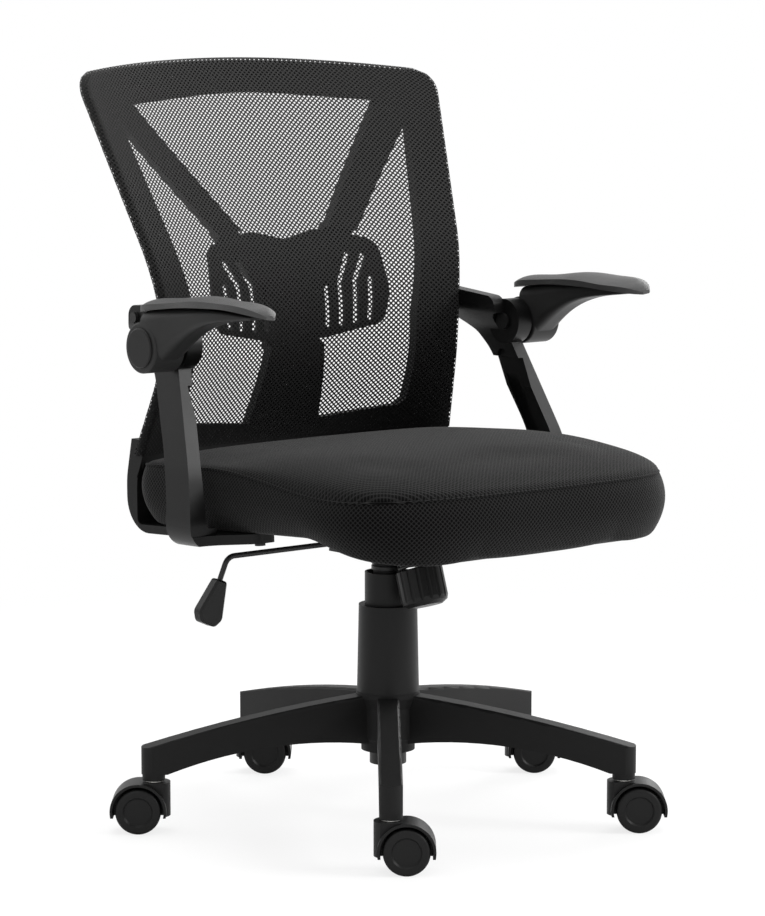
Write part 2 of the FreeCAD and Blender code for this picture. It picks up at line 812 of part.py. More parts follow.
def board_profile(low, high):
    centre = Vec(0, fall_start, -fall_radius)
    sweep = math.asin((fall_start - board_front + 12) / fall_radius)
    rim = []
    for level, part in ((low, 1.0), (low, 0.5), (high, 0.5), (high, 1.0)):
        reach = fall_radius + level
        rim.append(centre + Vec(0, -reach * math.sin(sweep * part), reach * math.cos(sweep * part)))
    rear = board_rear + 20
    edges = [
        Part.LineSegment(Vec(0, rear, low), Vec(0, fall_start, low)).toShape(),
        Part.Arc(Vec(0, fall_start, low), rim[1], rim[0]).toShape(),
        Part.LineSegment(rim[0], rim[3]).toShape(),
        Part.Arc(rim[3], rim[2], Vec(0, fall_start, high)).toShape(),
        Part.LineSegment(Vec(0, fall_start, high), Vec(0, rear, high)).toShape(),
        Part.LineSegment(Vec(0, rear, high), Vec(0, rear, low)).toShape(),
    ]
    return Part.Wire(edges)


def board_solid(low, high):
    body = slab(board_profile(low, high), x_axis, -board_half_width, board_half_width)
    w = board_half_width
    shape = [(-w, board_front, board_corner), (w, board_front, board_corner), (w, board_rear, board_corner),
             (-w, board_rear, board_corner)]
    return body.common(slab(rounded_wire(shape, plan), z_axis, -120, 60))


def plate_bolts():
    return [(x, y) for x in (-plate_bolt_x, plate_bolt_x) for y in (plate_bolt_front, plate_bolt_rear)]


def arm_bolts():
    return [(sign * x, y) for sign in (-1, 1) for x, y in arm_foot_bolts]


def foot_bolts():
    spread = (foot_outer - foot_inner) / 4
    middle = (foot_outer + foot_inner) / 2 - 12
    return [(sign * (middle + side_step), foot_bolt_y) for sign in (-1, 1) for side_step in (-spread, spread)]


def screw_up(spot, clamp, length):
    # screw with its head under a clamped thickness and its shank in the board
    x, y = spot
    shank = post(Vec(x, y, -clamp), Vec(x, y, length), screw_radius)
    head = post(Vec(x, y, -clamp - screw_head), Vec(x, y, -clamp), screw_head_radius)
    return tilted(shank.fuse(head))


def all_board_bolts():
    return plate_bolts() + arm_bolts() + foot_bolts()


def make_seat_board():
    board = board_solid(0, board_thick)
    for x, y in all_board_bolts():
        hole = post(Vec(x, y, -5), Vec(x, y, board_thick + 5), nut_radius)
        recess = post(Vec(x, y, board_thick - nut_flange), Vec(x, y, board_thick + 5), nut_flange_radius)
        board = board.cut(hole.fuse(recess))
    return tilted(board)


def make_tee_nuts():
    nuts = []
    for x, y in all_board_bolts():
        barrel = post(Vec(x, y, 2), Vec(x, y, board_thick), nut_radius)
        flange = post(Vec(x, y, board_thick - nut_flange), Vec(x, y, board_thick), nut_flange_radius)
        hole = post(Vec(x, y, -1), Vec(x, y, board_thick + 1), screw_radius + running_gap)
        nuts.append(tilted(barrel.fuse(flange).cut(hole)))
    return Part.makeCompound(nuts)


def cushion_section(share):
    # cross-section at a share of the half length, share -1 at the front and 1 at the rear
    middle = (cushion_front + cushion_rear) / 2
    half_length = (cushion_rear - cushion_front) / 2
    y = middle + share * half_length
    power = cushion_front_round if share < 0 else cushion_rear_round
    width = (cushion_half_width - cushion_waist * (1 - share ** 2)) * (1 - abs(share) ** power) ** (1 / 3)
    squash_low = (1 - abs(share) ** cushion_low_round) ** (1 / 3)
    squash_high = (1 - abs(share) ** cushion_high_round) ** (1 / 3)
    roll = max(0.0, roll_start - y) ** 2 / (2 * roll_radius)
    low = -fall(y)
    high = cushion_height - roll
    centre = (low + high) / 2
    low = centre + (low - centre) * squash_low
    high = centre + (high - centre) * squash_high
    crown = high + cushion_crown * squash_low
    bulge = width + cushion_bulge * squash_low
    tuck = width - cushion_tuck
    corners = [Vec(-tuck, y, low), Vec(tuck, y, low), Vec(width, y, high), Vec(-width, y, high)]
    return Part.Wire([
        Part.LineSegment(corners[0], corners[1]).toShape(),
        Part.Arc(corners[1], Vec(bulge, y, centre), corners[2]).toShape(),
        Part.Arc(corners[2], Vec(0, y, crown), corners[3]).toShape(),
        Part.Arc(corners[3], Vec(-bulge, y, centre), corners[0]).toShape(),
    ])


def make_seat_cushion():
    # crowned pad with bulging drawn-in sides and a front that rolls down, over the board
    shares = (-0.985, -0.955, -0.9, -0.8, -0.62, -0.35, 0.0, 0.35, 0.62, 0.8, 0.9, 0.955, 0.985)
    pad = Part.makeLoft([cushion_section(s) for s in shares], True, False)
    pocket = board_solid(-15, board_thick)
    bed = box(-300, 300, -foot_bed_half, foot_bed_half, -15, seat_gap)
    return tilted(pad.cut(pocket).cut(bed))


def make_seat_plate():
    # steel plate under the board with two pivot ears and the shelf that holds the tension bolt
    outline = [(-plate_half_x, plate_front, 12), (plate_half_x, plate_front, 12), (plate_half_x, plate_rear, 12),
               (-plate_half_x, plate_rear, 12)]
    plate = slab(rounded_wire(outline, plan), z_axis, -plate_thick, 0)
    for x, y in plate_bolts():
        plate = plate.cut(post(Vec(x, y, -10), Vec(x, y, 5), screw_radius + running_gap))
    plate = tilted(plate)
    top = seat_under + 10
    ears = []
    for x0 in (-ear_inner() - plate_thick, ear_inner()):
        outline = [(pivot_y - 24, top, 0), (pivot_y - 13, pivot_z - 13, 13), (pivot_y + 13, pivot_z - 13, 13),
                   (pivot_y + 24, top, 0)]
        ears.append(slab(rounded_wire(outline, side), x_axis, x0, x0 + plate_thick))
    half = bolt_head_radius + 6
    shelf = box(-half, half, -half, half, shelf_height, shelf_height + plate_thick)
    cheeks = [box(x0, x0 + plate_thick, -half, half, shelf_height, shelf_height + 60)
              for x0 in (-half, half - plate_thick)]
    hanger = along_knob(fused([shelf] + cheeks))
    above = tilted(box(-200, 200, -300, 300, -plate_thick / 2, 100))
    whole = fused([plate] + [piece.cut(above) for piece in ears + [hanger]])
    whole = whole.cut(post(Vec(-80, pivot_y, pivot_z), Vec(80, pivot_y, pivot_z), pivot_radius + running_gap))
    hole = post(Vec(0, 0, shelf_height - 5), Vec(0, 0, shelf_height + plate_thick + 1), bolt_radius)
    return whole.cut(along_knob(hole))


def make_plate_bolts():
    return Part.makeCompound([screw_up(spot, plate_thick, board_thick - 1) for spot in plate_bolts()])


# Back

def bend_line(z, middle, least, radius, upper, lower):
    # straight above and below, and an arc between whose nearest point is (least, middle)
    up = math.radians(upper)
    down = math.radians(lower)
    high = middle + radius * math.sin(up)
    low = middle - radius * math.sin(down)
    if z > high:
        return least + radius * (1 - math.cos(up)) + (z - high) * math.tan(up)
    if z < low:
        return least + radius * (1 - math.cos(down)) + (low - z) * math.tan(down)
    return least + radius - math.sqrt(radius ** 2 - (z - middle) ** 2)


def back_edge_y(z):
    return bend_line(z, lumbar_z, lumbar_y, lumbar_radius, upper_lean, lower_lean)


def back_edge_x(z):
    return bend_line(z, waist_z, waist_half, waist_radius, upper_flare, lower_flare)


def back_y(x, z):
    # front of the net
    return back_edge_y(z) + (back_edge_x(z) ** 2 - x ** 2) / (2 * back_curve)


def back_sheet(depth, thick, low, high):
    # curved sheet that lies depth behind the front of the net
    sections = []
    count = 12
    for i in range(count + 1):
        z = low + (high - low) * i / count
        w = back_edge_x(z) + 12
        y_end = back_y(w, z) + depth
        y_mid = back_y(0, z) + depth
        ends = [Vec(-w, y_end, z), Vec(w, y_end, z), Vec(w, y_end + thick, z), Vec(-w, y_end + thick, z)]
        sections.append(Part.Wire([
            Part.Arc(ends[0], Vec(0, y_mid, z), ends[1]).toShape(),
            Part.LineSegment(ends[1], ends[2]).toShape(),
            Part.Arc(ends[2], Vec(0, y_mid + thick, z), ends[3]).toShape(),
            Part.LineSegment(ends[3], ends[0]).toShape(),
        ]))
    return Part.makeLoft(sections, True, False)


def back_outline(inset, low):
    # front view of the backrest: waisted sides, rounded top corners and a bowed top
    waist = math.radians(upper_flare)
    arc_high = waist_z + waist_radius * math.sin(waist)
    arc_low = waist_z - waist_radius * math.sin(math.radians(lower_flare))
    corner = Vec(back_edge_x(back_corner_z) - inset, back_corner_z - inset, 0)
    down = Vec(-math.sin(waist), -math.cos(waist), 0)
    rise = back_top - back_corner_z
    along = Vec(-corner.x, 2 * rise, 0)
    along.normalize()
    half = down.getAngle(along) / 2
    inward = down + along
    inward.normalize()
    reach = back_corner_radius / math.tan(half)
    turn = [corner + down * reach, corner + inward * (back_corner_radius / math.sin(half) - back_corner_radius),
            corner + along * reach]

    def spot(z, sign):
        return Vec(sign * (back_edge_x(z) - inset), 0, z)

    def corner_spot(p, sign):
        return Vec(sign * p.x, 0, p.y)

    right = [corner_spot(p, 1) for p in turn]
    left = [corner_spot(p, -1) for p in turn]
    return Part.Wire([
        Part.LineSegment(spot(low, -1), spot(low, 1)).toShape(),
        Part.LineSegment(spot(low, 1), spot(arc_low, 1)).toShape(),
        Part.Arc(spot(arc_low, 1), spot(waist_z, 1), spot(arc_high, 1)).toShape(),
        Part.LineSegment(spot(arc_high, 1), right[0]).toShape(),
        Part.Arc(right[0], right[1], right[2]).toShape(),
        Part.Arc(right[2], Vec(0, 0, back_top - inset), left[2]).toShape(),
        Part.Arc(left[2], left[1], left[0]).toShape(),
        Part.LineSegment(left[0], spot(arc_high, -1)).toShape(),
        Part.Arc(spot(arc_high, -1), spot(waist_z, -1), spot(arc_low, -1)).toShape(),
        Part.LineSegment(spot(arc_low, -1), spot(low, -1)).toShape(),
    ])


def both_sides(corners):
    # closed outline from its right half, listed from the top downwards
    left = [(-a, b, radius) for a, b, radius in reversed(corners)]
    return corners + left


window_top = 836.0
strut_high = (184.0, 822.0)
strut_low = (216.0, 801.0)
band_waist = (175.0, 613.0)
band_narrow = (166.0, 570.0)
band_foot = (170.0, 455.0)
spine_foot = (53.0, 444.0)
spine_neck = (39.0, 544.0)
fork_side = (46.0, 600.0)
fork_middle = 592.0


def ring_window():
    half = [strut_high + (12,), strut_low + (8,), band_waist + (60,), band_narrow + (60,), band_foot + (12,),
            spine_foot + (10,)]
    return rounded_wire([(0, window_top, 900)] + both_sides(half), front)


def fork_outline():
    # two struts that meet in the spine, run into the ring at their ends
    run = Vec(strut_high[0], strut_high[1] - fork_middle, 0)
    run.normalize()
    step = run * 16
    half = [(strut_high[0] + step.x, strut_high[1] + step.y, 0), (strut_low[0] + step.x, strut_low[1] + step.y, 0),
            fork_side + (30,), spine_neck + (80,), spine_foot + (0,), (spine_foot[0] + 4, back_low + 16, 0)]
    return rounded_wire(both_sides(half) + [(0, fork_middle, 25)], front)


def make_back_frame():
    # ring, forked spine with ribs behind, lugs for the arms and two feet that hook under the seat
    skin = net_thick + seat_gap
    ring = back_sheet(skin, ring_thick, back_low - 10, back_top + 12)
    ring = ring.common(slab(back_outline(0, back_low), y_axis, 0, 500))
    ring = ring.cut(slab(ring_window(), y_axis, 0, 500))
    fork_shape = slab(fork_outline(), y_axis, 0, 500)
    fork = back_sheet(skin, ring_thick, back_low, window_top + 20).common(fork_shape)
    recess = slab(pad_outline(pad_margin), y_axis, 0, 500)
    shallow = back_sheet(-5, strut_back + 5, back_low, window_top).common(recess)
    deep = back_sheet(strut_back, strut_thick, back_low, window_top).common(fork_shape)
    deep = deep.common(slab(pad_outline(2 * pad_margin), y_axis, 0, 500))
    fork = fork.cut(shallow).fuse(deep)
    rib_sheet = back_sheet(ring_thick, strut_back + strut_thick + strut_rib - ring_thick - 1, back_low,
                           window_top + 20)
    ribs = []
    top_mid = ((strut_high[0] + strut_low[0]) / 2 - 8, (strut_high[1] + strut_low[1]) / 2 - 8)
    for sign in (-1, 1):
        strip = capsule((0, fork_side[1] - 20), (sign * top_mid[0], top_mid[1]), strut_rib_width, front)
        ribs.append(rib_sheet.common(slab(strip, y_axis, 0, 500)))
    strip = capsule((0, fork_side[1]), (0, spine_foot[1] - 8), strut_rib_width, front)
    ribs.append(rib_sheet.common(slab(strip, y_axis, 0, 500)))
    hooks = []
    for sign in (-1, 1):
        inner, outer = sorted((sign * foot_inner, sign * foot_outer))
        hooks.append(slab(hook_outline(), x_axis, inner, outer))
        lug_from, lug_to = sorted((sign * lug_inner, sign * lug_outer))
        hooks.append(post(Vec(lug_from, lug_y, lug_z), Vec(lug_to, lug_y, lug_z), lug_radius))
        web_y = back_y(lug_outer, lug_z) + skin + ring_thick / 2
        hooks.append(box(lug_from + 2, lug_to - 4, web_y, lug_y, lug_z - 9, lug_z + 9))
    frame = fused([ring, fork] + ribs + hooks)
    frame = frame.cut(back_sheet(-net_room, net_room + skin, back_low - 10, back_top + 12))
    for x, y in foot_bolts():
        frame = frame.cut(tilted(post(Vec(x, y, -30), Vec(x, y, 5), screw_radius + running_gap)))
    bolt_hole = post(Vec(-300, lug_y, lug_z), Vec(300, lug_y, lug_z), screw_radius)
    frame = frame.cut(bolt_hole)
    for z in pad_post_heights:
        frame = frame.cut(post(Vec(0, 100, z), Vec(0, 300, z), screw_radius))
    return frame


def hook_outline():
    # side view of a foot: down behind the cushion and forward under the board
    front_low = under_board(foot_front)
    rear_low = under_board(150)
    return rounded_wire([(172, 441, 0), (178, 387, 80), (178, under_board(178), 8), (150, rear_low, 0),
                         (foot_front, front_low, 0), (foot_front, front_low - foot_thick, 4),
                         (156, rear_low - foot_thick, 0), (197, rear_low - foot_thick - 1, 40), (198, 395, 80),
                         (188, 441, 0)], side)


def make_back_net():
    sheet = back_sheet(0, net_thick, back_low - 10, back_top + 12)
    return sheet.common(slab(back_outline(net_inset, net_low), y_axis, 0, 500))


def pad_outline(grow):
    half = [(48, 672 + grow, 30), (96, 664 + grow, 30), (127 + grow, 656 + grow, 18), (134 + grow, 595, 40),
            (124 + grow, 558 - grow, 14), (42, 543 - grow, 8)]
    return rounded_wire([(0, 661 + grow, 30)] + both_sides(half), front)


def make_lumbar_pad():
    # butterfly plate behind the net with flexing slots and two posts on the spine
    sheet = back_sheet(pad_back, pad_thick, spine_neck[1] - 40, 715)
    pad = sheet.common(slab(pad_outline(0), y_axis, 0, 500))
    slots = (((47, 607), (47, 559)), ((83, 640), (67, 609)), ((67, 609), (66, 560)), ((104, 637), (88, 609)),
             ((88, 609), (86, 562)), ((110, 610), (106, 565)))
    for start, end in slots:
        for sign in (-1, 1):
            wire = capsule((sign * start[0], start[1]), (sign * end[0], end[1]), slot_width, front)
            pad = pad.cut(slab(wire, y_axis, 0, 500))
    for z in pad_post_heights:
        y0 = back_y(0, z) + pad_back + pad_thick - 1
        y1 = back_y(0, z) + strut_back - seat_gap
        pad = pad.fuse(post(Vec(0, y0, z), Vec(0, y1, z), pad_post_radius))
        pad = pad.cut(post(Vec(0, y0 + 1, z), Vec(0, y1 + 1, z), screw_radius))
    return pad


def make_back_screws():
    # four screws through the feet into the board, and two that hold the lumbar pad
    screws = [screw_up(spot, foot_thick + 1, board_thick - 1) for spot in foot_bolts()]
    for z in pad_post_heights:
        y0 = back_y(0, z) + pad_back + pad_thick
        y1 = back_y(0, z) + strut_back + strut_thick + strut_rib - 1
        shank = post(Vec(0, y0, z), Vec(0, y1 + 2, z), screw_radius)
        screws.append(shank.fuse(post(Vec(0, y1 + 2, z), Vec(0, y1 + 5, z), screw_head_radius)))
    return Part.makeCompound(screws)


# Arms

def upright_side():
    # side view of the arm bracket above its foot
    return rounded_wire([(-5, 325, 0), (-5, 370, 60), (7.5, 425, 150), (58, 540, 60), (66, 589, 14), (150, 597, 40),
                         (179, 597, 13), (179, 569, 13), (158, 568, 20), (115, 544, 40), (97, 525, 60),
                         (52, 430, 200), (41, 380, 100), (39, 325, 0)], side)


def upright_front():
    # front view of the arm bracket with its foot, on the +X side
    low = under_board(60) - arm_foot_thick
    eye_inner = lug_outer + seat_gap
    eye_outer = eye_inner + arm_eye_thick
    return rounded_wire([(arm_foot_inner, low, 0), (arm_foot_inner, seat_under + 8, 0), (267, seat_under + 8, 8),
                         (263, 427, 100), (arm_boss_inner + 1, 548, 40), (eye_inner, 575, 20), (eye_inner, 603, 0),
                         (eye_outer, 603, 0), (eye_outer, 577, 20), (arm_boss_outer - 1, 540, 40), (281, 425, 100),
                         (288, 371, 60), (288, low, 24)], front)


def arm_bracket_solid():
    upright = slab(upright_side(), x_axis, arm_foot_inner + 56, 300)
    upper = slab(upright_side(), x_axis, arm_foot_inner, 300).common(box(0, 300, 0, 300, 515, 695))
    foot_shape = [(arm_foot_inner, -42, 8), (224, -42, 16), (262, -6, 40), (300, -6, 0), (300, 40, 0), (262, 40, 40),
                  (224, 48, 16), (arm_foot_inner, 48, 8)]
    foot = tilted(slab(rounded_wire(foot_shape, plan), z_axis, -arm_foot_thick, 0))
    below = tilted(box(-395, 395, -395, 395, -200, -arm_foot_thick))
    bracket = fused([upright.cut(below), upper, foot]).common(slab(upright_front(), y_axis, -100, 300))
    pivot = Vec(0, arm_pivot_y, arm_pivot_z)
    boss = post(pivot + x_axis * arm_boss_inner, pivot + x_axis * arm_boss_outer, arm_boss_radius)
    spigot = post(pivot + x_axis * arm_boss_inner, pivot + x_axis * arm_spigot_outer, arm_spigot_radius)
    bracket = fused([bracket, boss, spigot])
    channel = slab(capsule((26, 397), (74, 515), 20, side), x_axis, 200, 300)
    d = arm_channel_depth
    inner = [(267 + d, seat_under + 8, 0), (263 + d, 427, 100), (arm_boss_inner + 1 + d, 548, 0), (200, 548, 0),
             (200, seat_under + 8, 0)]
    bracket = bracket.cut(channel.common(slab(rounded_wire(inner, front), y_axis, -100, 300)))
    bracket = bracket.cut(post(pivot + x_axis * 200, pivot + x_axis * 300, arm_pin_radius + running_gap))
    bracket = bracket.cut(post(pivot + x_axis * 200, pivot + x_axis * arm_boss_inner, arm_head_radius + moving_gap))
    eye = Vec(0, lug_y, lug_z)
    bracket = bracket.cut(post(eye + x_axis * 200, eye + x_axis * 300, screw_radius + running_gap))
    seat_x = lug_outer + seat_gap + arm_eye_thick
    bracket = bracket.cut(post(eye + x_axis * seat_x, eye + x_axis * 300, screw_head_radius + 1))
    for x, y in arm_foot_bolts:
        bracket = bracket.cut(tilted(post(Vec(x, y, -40), Vec(x, y, 5), screw_radius + running_gap)))
    return bracket


def make_arm_bolts():
    # two screws up through each foot, and one through each eye into the back frame
    screws = [screw_up(spot, arm_foot_thick, board_thick - 1) for spot in arm_bolts()]
    eye = Vec(0, lug_y, lug_z)
    for sign in (-1, 1):
        outer = lug_outer + seat_gap + arm_eye_thick
        shank = post(eye + x_axis * (sign * (lug_inner + 4)), eye + x_axis * (sign * outer), screw_radius)
        head = post(eye + x_axis * (sign * outer), eye + x_axis * (sign * (outer + screw_head)), screw_head_radius)
        screws.append(shank.fuse(head))
    return Part.makeCompound(screws)


def horn_section(y, low, high, half_width):
    # rounded cross-section of the arm body at one place along it
    centre = (arm_body_inner + arm_body_outer) / 2
    centre = centre + (pad_centre_x - centre) * min(1.0, (arm_pivot_y - y) / 60)
    corner = min(half_width, (high - low) / 2) * 0.6
    shape = [(centre - half_width, low, corner), (centre + half_width, low, corner),
             (centre + half_width, high, corner), (centre - half_width, high, corner)]
    wire = rounded_wire(shape, front)
    wire.translate(Vec(0, y, 0))
    return wire


def pad_under(y):
    # underside of the armrest pad
    return 607.5 - (y + 42) ** 2 / 1500.0


def arm_body_solid():
    # knuckle round the pivot that sweeps forward into a horn under the pad
    pivot = Vec(0, arm_pivot_y, arm_pivot_z)
    knuckle = post(pivot + x_axis * arm_body_inner, pivot + x_axis * arm_body_outer, arm_knuckle_radius)
    rims = [e for e in knuckle.Edges if e.Curve.TypeId == "Part::GeomCircle"]
    knuckle = knuckle.makeFillet(2.5, rims)
    half = (arm_body_outer - arm_body_inner) / 2
    stations = ((arm_pivot_y, 533, half), (40, 546, half), (6, 570, half - 2), (-35, 589, half - 4),
                (-75, 596.5, half - 7), (-116, 601.5, half - 10))
    sections = [horn_section(y, low, pad_under(y) - 0.5 * moving_gap, width) for y, low, width in stations]
    horn = Part.makeLoft(sections, True, False)
    body = fused([knuckle, horn])
    pin_end = arm_body_outer - arm_cap
    body = body.cut(post(pivot + x_axis * 200, pivot + x_axis * pin_end, arm_pin_radius))
    return body.cut(post(pivot + x_axis * (pin_end - 1), pivot + x_axis * (arm_body_outer + 5), arm_cap_radius))


def pad_section(y, half_width, thick, roll):
    # lens with a flat underside, tipped towards the sitter by roll degrees
    low = pad_under(y)
    edge = thick * 0.55
    spots = [Vec(-half_width, y, 0), Vec(half_width, y, 0), Vec(half_width, y, edge), Vec(-half_width, y, edge)]
    crown = Vec(0, y, thick)
    wire = Part.Wire([
        Part.LineSegment(spots[0], spots[1]).toShape(),
        Part.LineSegment(spots[1], spots[2]).toShape(),
        Part.Arc(spots[2], crown, spots[3]).toShape(),
        Part.LineSegment(spots[3], spots[0]).toShape(),
    ])
    wire.rotate(Vec(0, y, 0), y_axis, -roll)
    wire.translate(Vec(pad_centre_x, 0, low + half_width * math.sin(math.radians(roll)) * 0.6))
    return wire


def arm_pad_solid():
    # narrow at the rear, broad and slightly dished inwards at the front
    thick = pad_board + pad_crown
    stations = ((80, 11, 6, 0), (74, 17, thick - 2, 0), (44, 22, thick, 0), (-10, 25, thick, 2), (-65, 27, thick, 5),
                (-100, 25, thick, 7), (-120, 19, thick, 7), (-131, 12, thick - 3, 7), (-137, 5, 5, 7))
    return Part.makeLoft([pad_section(*station) for station in stations], True, False)


def arm_pivot_solid():
    # headed pin through the boss, and the round cap that hides its end
    pivot = Vec(0, arm_pivot_y, arm_pivot_z)
    pin_end = arm_body_outer - arm_cap
    pin = post(pivot + x_axis * (arm_boss_inner + 1), pivot + x_axis * pin_end, arm_pin_radius)
    head = post(pivot + x_axis * (arm_boss_inner - 4), pivot + x_axis * (arm_boss_inner - moving_gap), arm_head_radius)
    neck = post(pivot + x_axis * (arm_boss_inner - 2), pivot + x_axis * (arm_boss_inner + 2), arm_pin_radius)
    cap = post(pivot + x_axis * pin_end, pivot + x_axis * (arm_body_outer + 2.5), arm_cap_radius)
    rim = [e for e in cap.Edges if e.Curve.TypeId == "Part::GeomCircle" and e.BoundBox.XMin > pin_end + 1]
    cap = cap.makeFillet(1.8, rim)
    return Part.makeCompound([fused([pin, head, neck]), cap])


# All pieces by name

def make_parts():
    parts = {
        "star_base": make_star_base(),
        "caster_sockets": make_caster_sockets(),
        "stand_tube": make_stand_tube(),
        "guide_bush": make_guide_bush(),
        "column_sleeve": make_column_sleeve(),
        "dust_cover": make_dust_cover(),
        "thrust_race": make_thrust_race(),
        "piston_rod": make_piston_rod(),
        "piston": make_piston(),
        "thrust_bearing": make_thrust_bearing(),
        "bump_stop": make_bump_stop(),
        "pressure_tube": make_pressure_tube(),
        "rod_guide": make_rod_guide(),
        "valve_button": make_valve_button(),
        "tilt_housing": make_tilt_housing(),
        "pivot_pin": make_pivot_pin(),
        "tension_spring": make_tension_spring(),
        "tension_knob": make_tension_knob(),
        "tension_bolt": make_tension_bolt(),
        "lever_rod": make_lever_rod(),
        "lever_grip": make_lever_grip(),
        "lever_bush": make_lever_bush(),
        "seat_plate": make_seat_plate(),
        "plate_bolts": make_plate_bolts(),
        "seat_board": make_seat_board(),
        "tee_nuts": make_tee_nuts(),
        "seat_cushion": make_seat_cushion(),
        "back_frame": make_back_frame(),
        "back_net": make_back_net(),
        "lumbar_pad": make_lumbar_pad(),
        "back_screws": make_back_screws(),
        "arm_bolts": make_arm_bolts(),
    }
    handed = {"arm_bracket": arm_bracket_solid(), "arm_body": arm_body_solid(), "arm_pad": arm_pad_solid(),
              "arm_pivot": arm_pivot_solid()}
    for name, shape in handed.items():
        parts[name + "_left"] = shape
        parts[name + "_right"] = mirrored(shape)
    for k in range(leg_count):
        tag = "_%d" % (k + 1)
        parts["caster_hood" + tag] = make_caster_hood(k)
        parts["caster_pins" + tag] = make_caster_pins(k)
        parts["caster_wheel_a" + tag] = make_caster_wheel(k, 1)
        parts["caster_wheel_b" + tag] = make_caster_wheel(k, -1)
    return parts


os.makedirs("parts", exist_ok=True)
for name, shape in make_parts().items():
    shape.exportStep(os.path.join("parts", name + ".step"))
    print("%-20s %3d solids %10.0f mm3 %s" % (name, len(shape.Solids), shape.Volume, shape.isValid()))
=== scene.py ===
import json
import math
import bpy
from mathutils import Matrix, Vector, kdtree


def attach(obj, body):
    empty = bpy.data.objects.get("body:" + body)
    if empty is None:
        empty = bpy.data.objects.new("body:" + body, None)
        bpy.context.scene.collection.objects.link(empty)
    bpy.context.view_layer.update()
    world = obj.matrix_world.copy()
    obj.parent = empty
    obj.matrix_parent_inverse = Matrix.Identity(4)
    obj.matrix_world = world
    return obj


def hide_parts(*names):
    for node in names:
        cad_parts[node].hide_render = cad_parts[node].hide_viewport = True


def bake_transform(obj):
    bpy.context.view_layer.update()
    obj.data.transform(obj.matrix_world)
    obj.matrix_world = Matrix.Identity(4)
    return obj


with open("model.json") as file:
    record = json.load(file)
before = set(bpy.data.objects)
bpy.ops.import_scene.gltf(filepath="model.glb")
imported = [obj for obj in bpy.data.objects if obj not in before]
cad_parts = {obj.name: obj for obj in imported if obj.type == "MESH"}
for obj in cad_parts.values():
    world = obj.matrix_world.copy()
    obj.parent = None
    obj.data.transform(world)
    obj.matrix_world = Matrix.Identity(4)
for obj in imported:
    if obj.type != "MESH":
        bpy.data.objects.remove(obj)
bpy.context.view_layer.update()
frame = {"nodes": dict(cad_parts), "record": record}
scene = bpy.context.scene
scene.view_settings.view_transform = "Standard"


# shader sockets that can be added and multiplied like numbers
class Flow:
    def __init__(self, maker, socket):
        self.maker = maker
        self.socket = socket

    def math(self, operation, first, second=None):
        values = [first] if second is None else [first, second]
        return self.maker.add("ShaderNodeMath", {"operation": operation}, dict(enumerate(values)))

    def __add__(self, other):
        return self.math("ADD", self, other)

    def __radd__(self, other):
        return self.math("ADD", other, self)

    def __sub__(self, other):
        return self.math("SUBTRACT", self, other)

    def __rsub__(self, other):
        return self.math("SUBTRACT", other, self)

    def __mul__(self, other):
        return self.math("MULTIPLY", self, other)

    def __rmul__(self, other):
        return self.math("MULTIPLY", other, self)

    def __truediv__(self, other):
        return self.math("DIVIDE", self, other)

    def __rtruediv__(self, other):
        return self.math("DIVIDE", other, self)

    def size(self):
        return self.math("ABSOLUTE", self)

    def power(self, other):
        return self.math("POWER", self, other)

    def sine(self):
        return self.math("SINE", self)

    def floor(self):
        return self.math("FLOOR", self)

    def fraction(self):
        return self.math("FRACT", self)

    def ramp(self, low, high):
        return self.maker.add("ShaderNodeMapRange", {"interpolation_type": "SMOOTHSTEP"},
                              {"Value": self, "From Min": low, "From Max": high})


class Maker:
    def __init__(self, name):
        self.material = bpy.data.materials.new(name)
        self.material.use_nodes = True
        self.tree = self.material.node_tree
        self.shader = self.tree.nodes["Principled BSDF"]

    def add(self, kind, settings=None, inputs=None, output=0):
        node = self.tree.nodes.new(kind)
        for key, value in (settings or {}).items():
            setattr(node, key, value)
        for key, value in (inputs or {}).items():
            self.plug(node.inputs[key], value)
        return Flow(self, node.outputs[output])

    def plug(self, target, value):
        if isinstance(value, Flow):
            self.tree.links.new(value.socket, target)
        else:
            target.default_value = value

    def set(self, **values):
        for key, value in values.items():
            self.plug(self.shader.inputs[key.replace("_", " ")], value)

    def place(self, output="Object"):
        return self.add("ShaderNodeTexCoord", output=output)

    def parts(self, vector):
        return [self.add("ShaderNodeSeparateXYZ", None, {0: vector}, output=i) for i in range(3)]

    def noise(self, scale, detail=2.0, rough=0.5):
        return self.add("ShaderNodeTexNoise", None,
                        {"Vector": self.place(), "Scale": scale, "Detail": detail, "Roughness": rough})

    def blend(self, factor, low, high):
        return self.add("ShaderNodeMix", {"data_type": "RGBA"}, {0: factor, 6: low, 7: high}, output=2)

    def bump(self, height, strength, distance):
        return self.add("ShaderNodeBump", None,
                        {"Height": height, "Strength": strength, "Distance": distance})


def grey(value, warm=0.0):
    return (value * (1 + warm), value, value * (1 - warm), 1.0)


# moulded plastics: colour, roughness, gloss, size and depth of the grain, strength of the lighter specks
plastics = {
    "base_plastic": dict(colour=0.0062, rough=0.5, gloss=0.14, grain=1500, depth=0.00012, specks=0.25),
    "column_plastic": dict(colour=0.0075, rough=0.48, gloss=0.16, grain=1700, depth=0.0001, specks=0.3),
    "fine_plastic": dict(colour=0.0065, rough=0.4, gloss=0.17, grain=2200, depth=0.00006, specks=0.12),
    "frame_plastic": dict(colour=0.0026, rough=0.5, gloss=0.14, grain=1500, depth=0.00012, specks=0.2),
    "arm_plastic": dict(colour=0.002, rough=0.35, gloss=0.17, grain=1300, depth=0.00016, specks=0.55),
    "armBody": dict(colour=0.0125, rough=0.5, gloss=0.2, grain=1300, depth=0.00016, specks=0.55),
    "caster_plastic": dict(colour=0.006, rough=0.42, gloss=0.16, grain=1900, depth=0.00007, specks=0.15),
}


